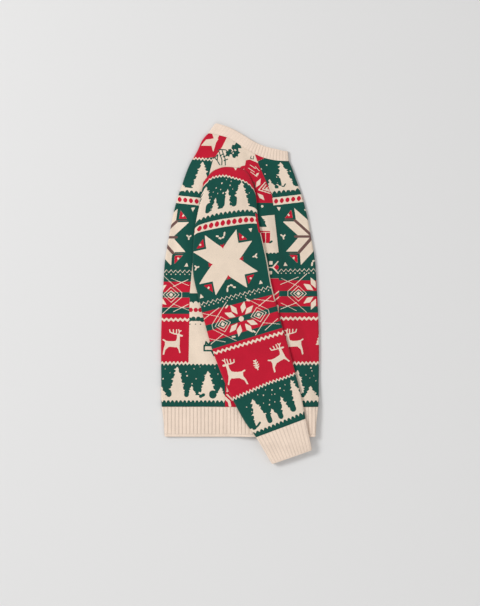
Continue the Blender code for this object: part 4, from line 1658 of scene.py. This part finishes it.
# ---- the sleeves ---------------------------------------------------------------------------------
@dataclass
class SleeveSheet:
    """The grid of a flattened sleeve: side is 1 for the one on top of the body and -1 for the one below."""

    side: int
    near: int
    far: int
    around: int = 9
    creases: tuple[Crease, ...] = ()
    crown: float = 0.002

    FOLD_ROW = 1.15  # the body's row where the cap's folds begin
    CAP_RISE = 0.0345  # how far the cap's top stands above its two ends
    TURNED_BY = 0.6  # the station where the wall has turned from upright to flat
    EVEN_BY = 3  # the station where the points are spread evenly

    def __post_init__(self) -> None:
        """Works out the columns and where each meets the armhole."""
        outer = np.linspace(0, 1, self.near)
        under = np.linspace(0, 1, self.far + (-(self.near + self.far + 2 * self.around)) % INNER_STEP)
        self.angle = loop_angles(self.near, len(under), self.around)
        self.share = np.concatenate([outer, np.ones(self.around), 1 - under, np.zeros(self.around)])
        back, front = panel_edges(np.array([self.FOLD_ROW]))
        start, end = float(back[0]), float(front[0])
        x, _, _ = cap_shares()
        falls = cap_height(x)
        peak = int(np.argmax(falls))
        ramp = np.linspace(1, 0, self.around + 2)[1:-1]
        right_h = FOLDS_MEET + ramp * (float(cap_height(np.array(end))) - FOLDS_MEET)
        left_h = (FOLDS_MEET + ramp * (float(cap_height(np.array(start))) - FOLDS_MEET))[::-1]
        right_cap = np.interp(-right_h, -falls[peak:], x[peak:])
        left_cap = np.interp(left_h, falls[: peak + 1], x[: peak + 1])
        right_x = np.where(right_h > CHEST, right_cap, ARMHOLE_X + armhole_reach(right_h))
        left_x = np.where(left_h > CHEST, left_cap, ARMHOLE_X - armhole_reach(left_h))
        first = math.asin((CHEST - FOLDS_MEET) / (CHEST - UNDERARM))
        sweep = first + under * (math.pi - 2 * first)
        upper_x = start + outer * (end - start)
        hole_x = np.concatenate([upper_x, right_x, ARMHOLE_X + ARMHOLE_HALF * np.cos(sweep), left_x])
        sweep_h = CHEST - (CHEST - UNDERARM) * np.sin(sweep)
        hole_h = np.concatenate([cap_height(upper_x), right_h, sweep_h, left_h])
        self.hole = np.stack([hole_x, hole_h], axis=1)
        step = np.roll(self.hole, -1, axis=0) - np.roll(self.hole, 1, axis=0)
        normal = np.stack([step[:, 1], -step[:, 0]], axis=1)
        normal /= np.linalg.norm(normal, axis=1, keepdims=True)
        facing = np.sign(((self.hole.mean(axis=0) - self.hole) * normal).sum(axis=1))
        self.normal = normal * facing[:, None]

    @staticmethod
    def line(station: np.ndarray) -> list[np.ndarray]:
        """Each column of the sleeve table, read smoothly at fractional stations."""
        knots = np.arange(len(SLEEVE), dtype=float)
        return [curve(station, knots, SLEEVE[:, k])[:, None] for k in range(6)]

    def grids(
        self, station: np.ndarray, wall: float, sunk: np.ndarray | float = 0.0,
        sink: np.ndarray | float = 0.0,
    ) -> tuple[np.ndarray, np.ndarray]:
        """Points of both faces. sink says how far each ring is pushed into the armhole."""
        sink = np.broadcast_to(sink, (len(station), 1))
        return self.grid(station, sunk, sink, 1), self.grid(station, wall, sink, INNER_STEP)

    def grid(self, station: np.ndarray, deep: np.ndarray | float, sink: np.ndarray, every: int) -> np.ndarray:
        """Points of one face.

        Each ring is a flat loop between the sleeve's two edges. Near the armhole its upper layer bows up to
        the cap seam and its lower layer down to the underarm, and the wall turns from upright to flat.

        Args:
            station: station numbers along the sleeve.
            deep: how far below the sleeve's outside the face lies.
            sink: how far each ring is pushed into the armhole.
            every: 1 to take all rings and points, or the inner step.

        Returns:
            An array of rings by points by 3.
        """
        station, sink = station[::every], sink[::every]
        angle, share, hole, normal = (a[::every] for a in (self.angle, self.share, self.hole, self.normal))
        bx, by, fx, fy, cap, drop = self.line(station)
        q = station[:, None]
        flat_share = ease(q / self.TURNED_BY)
        upright = 1 - flat_share
        width = np.hypot(fx - bx, fy - by)
        radius = ROUND * np.sqrt(1 - np.clip(1 - q, 0, 1) ** 2)
        edge = radius / width
        flat = edge + share * (1 - 2 * edge) + edge * np.cos(angle)
        even = np.clip(q / self.EVEN_BY, 0, 1)
        start = (hole[:, 0] - SLEEVE[0, 0]) / (SLEEVE[0, 2] - SLEEVE[0, 0])
        across = start + even * (flat - start)
        bow = drop + (cap - drop) * ease((np.sin(angle) + 0.2) / 0.8)
        x = bx + across * (fx - bx) + SEAM * upright * normal[:, 0]
        height = by + across * (fy - by) + bow * (hole[:, 1] - SLEEVE[0, 1]) + SEAM * upright * normal[:, 1]
        into = np.stack([
            upright * normal[:, 0] - flat_share * np.cos(angle) * (fx - bx) / width,
            upright * normal[:, 1] - flat_share * np.cos(angle) * (fy - by) / width,
            -flat_share * np.sin(angle) + 0 * x,
        ], axis=-1)
        into /= np.linalg.norm(into, axis=-1, keepdims=True)
        up = np.where(q > 0, SEAM, 0) + radius * (1 + np.sin(angle))
        top = np.clip(np.sin(angle), 0, 1) * ease(q / 1.2)
        shape = self.crown * (1 - (2 * across - 1) ** 2).clip(0, 1) + creased(x, height, self.creases)
        up = up + top * shape * (1 if self.side > 0 else 0)
        x, height, up = x + deep * into[..., 0], height + deep * into[..., 1], up + deep * into[..., 2]
        low = body_lift(x, height)
        held = LOFT * (1 - ease((-height - CUFF_STEP) / CUFF_DROP)) if self.side > 0 else 0
        return np.stack([x, height + HEM_Y, low + held + self.side * (up - sink)], axis=-1)

    def stitches(self, station: np.ndarray) -> tuple[np.ndarray, np.ndarray, np.ndarray]:
        """Each point's place in stitches from the sleeve's middle and rows up from the cuff seam.

        Rows are counted along the middle of the upper layer, so the bands bow with the cap.

        Args:
            station: the places along the sleeve where its rings are.

        Returns:
            Across, up, and the sleeve's half width there.
        """
        fine = np.linspace(0, len(SLEEVE) - 1, 521)
        bx, by, fx, fy, cap, _ = (c[:, 0] for c in self.line(fine))
        middle = (by + fy) / 2 + cap * self.CAP_RISE
        length = np.concatenate([[0], np.cumsum(np.hypot(np.diff((bx + fx) / 2), np.diff(middle)))])
        seam = np.interp(CUFF_SEAM, fine, length)
        up = (seam - np.interp(station, fine, length))[:, None] / STITCH
        bx, by, fx, fy, _, _ = self.line(station)
        half = np.hypot(fx - bx, fy - by) / 2
        across = (2 * self.share - 1) * (half - ROUND) + over_fold(self.angle)
        return across / STITCH, up + 0 * across, half / STITCH + 0 * across


@dataclass
class Sleeve:
    """A sleeve with its cuff."""

    name: str
    sheet: SleeveSheet
    rings: int
    ribs: int = 14
    rib_depth: float = 0.0011

    def build(self) -> None:
        """Builds the sleeve and its cuff."""
        self.arm()
        self.cuff()

    def arm(self) -> None:
        """The patterned sleeve, its first ring sunk into the armhole."""
        early = np.array([0.0, 0.0, 0.01, 0.03, 0.06, 0.1, 0.15, 0.2])
        station = in_fours(np.concatenate([early, np.linspace(0.25, CUFF_SEAM, self.rings)]))
        sink = np.zeros((len(station), 1))
        sink[0] = CLOTH
        across, up, half = self.sheet.stitches(station)
        charts = SleeveChart(across, up, half).knit()
        grids = self.sheet.grids(station, CLOTH, sink=sink)
        piece = Wall(f"sleeve_{self.name}", grids, True, charts, (across, up)).build(PATTERNED)
        under = ["front_panel", "back_panel"] if self.sheet.side > 0 else ["floor"]

    def cuff(self) -> None:
        """The ribbed cuff, its furrows drawing together towards the end."""
        fine = SleeveSheet(self.sheet.side, 260, 120, 17, self.sheet.creases, self.sheet.crown)
        run = in_fours(np.concatenate([np.linspace(0.006, 0.9, 20), np.linspace(0.93, 1.0, 5)]))
        station = CUFF_SEAM + run
        across, up, half = fine.stitches(station)
        furrow = 0.6 * rib_furrow(across / half * self.ribs / 2 + 0.5)
        tall = run[:, None]
        edge = ease((1 - tall) / 0.05)
        sunk = self.rib_depth * furrow * edge * ease(tall / 0.03 + 0.2) + EDGE_ROLL * (1 - edge)
        # the furrow attribute carries the furrows' painted shade
        charts = {"furrow": furrow * edge}
        grids = fine.grids(station, RIB, sunk)
        piece = Wall(f"cuff_{self.name}", grids, True, charts, (across, up)).build(RIBBED)
        under = ["hem_rib_front", "cuff_left"] if self.sheet.side > 0 else ["floor"]


# ---- the studio ----------------------------------------------------------------------------------
@dataclass
class Studio:
    """A pale floor, soft light from the upper left, and a camera straight above."""

    camera_height: float = 4.0
    view_tall: float = 1.3332
    aim_y: float = -0.0206
    aim_z: float = 0.014
    sensor: float = 36.0
    daylight: float = 0.55
    floor_grey: float = 0.68
    floor_half: float = 14.0

    def build(self) -> None:
        """Builds the floor, the lights and the camera."""
        bpy.context.scene.view_settings.view_transform = "Standard"
        self.floor()
        self.light("key", (-3.1, 1.4, 3.4), 1.5, 136.0)
        self.light("fill", (1.7, -0.6, 2.3), 2.2, 10.0)
        self.light("front", (0.1, -2.2, 1.8), 2.0, 9.0)
        world = bpy.data.worlds.new("studio")
        world.use_nodes = True
        sky = world.node_tree.nodes["Background"]
        sky.inputs[0].default_value = (1.0, 0.99, 0.98, 1)
        sky.inputs[1].default_value = self.daylight
        bpy.context.scene.world = world
        self.camera()

    def floor(self) -> None:
        """A pale matt floor."""
        mesh = bpy.data.meshes.new("floor")
        far = self.floor_half
        mesh.from_pydata([(-far, -far, 0), (far, -far, 0), (far, far, 0), (-far, far, 0)], [], [(0, 1, 2, 3)])
        material = bpy.data.materials.new("floor paper")
        material.use_nodes = True
        shader = material.node_tree.nodes["Principled BSDF"]
        shader.inputs["Base Color"].default_value = (*[self.floor_grey] * 3, 1)
        shader.inputs["Roughness"].default_value = 0.95
        mesh.materials.append(material)
        floor = bpy.data.objects.new("floor", mesh)
        bpy.context.scene.collection.objects.link(floor)

    def light(self, name: str, place: tuple[float, float, float], size: float, power: float) -> None:
        """A square soft light that faces the garment.

        Args:
            name: the lamp's name.
            place: where it stands.
            size: the length of its sides.
            power: its power in watts.
        """
        data = bpy.data.lights.new(name, "AREA")
        data.size = size
        data.energy = power
        lamp = bpy.data.objects.new(name, data)
        lamp.location = place
        lamp.rotation_euler = (-Vector(place)).to_track_quat("-Z", "Y").to_euler()
        bpy.context.scene.collection.objects.link(lamp)

    def camera(self) -> None:
        """A long lens looking straight down, neck to the top of the view."""
        data = bpy.data.cameras.new("camera")
        data.sensor_width = self.sensor
        data.lens = self.sensor * (self.camera_height - self.aim_z) / self.view_tall
        data.clip_end = 20.0
        camera = bpy.data.objects.new("camera", data)
        camera.location = (0.0, self.aim_y, self.camera_height)
        bpy.context.scene.collection.objects.link(camera)
        bpy.context.scene.camera = camera


SLEEVE_CREASES = (
    Crease(-0.088, 0.500, -0.055, 0.420, 0.010, -0.0012),
    Crease(0.010, 0.570, 0.018, 0.480, 0.009, -0.0010),
    Crease(-0.095, 0.380, -0.020, 0.350, 0.012, 0.0009),
    Crease(-0.080, 0.300, 0.010, 0.290, 0.013, -0.0009),
    Crease(0.030, 0.340, 0.062, 0.300, 0.009, -0.0010),
    Crease(-0.062, 0.220, 0.020, 0.235, 0.012, 0.0009),
    Crease(0.040, 0.250, 0.092, 0.230, 0.010, -0.0009),
    Crease(-0.035, 0.160, 0.040, 0.150, 0.014, -0.0010),
    Crease(0.060, 0.180, 0.110, 0.120, 0.011, 0.0010),
    Crease(0.030, 0.090, 0.110, 0.075, 0.012, -0.0008),
)


def main() -> None:
    """Builds the pullover piece by piece, then the studio."""
    logging.basicConfig(level=logging.INFO, format="%(name)s %(message)s")
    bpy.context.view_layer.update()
    Body().build()
    Neckband().build()
    Sleeve("left", SleeveSheet(-1, 112, 36), 400).build()
    Sleeve("right", SleeveSheet(1, 112, 36, creases=SLEEVE_CREASES), 400).build()
    Studio().build()


if __name__ == "__main__":
    main()
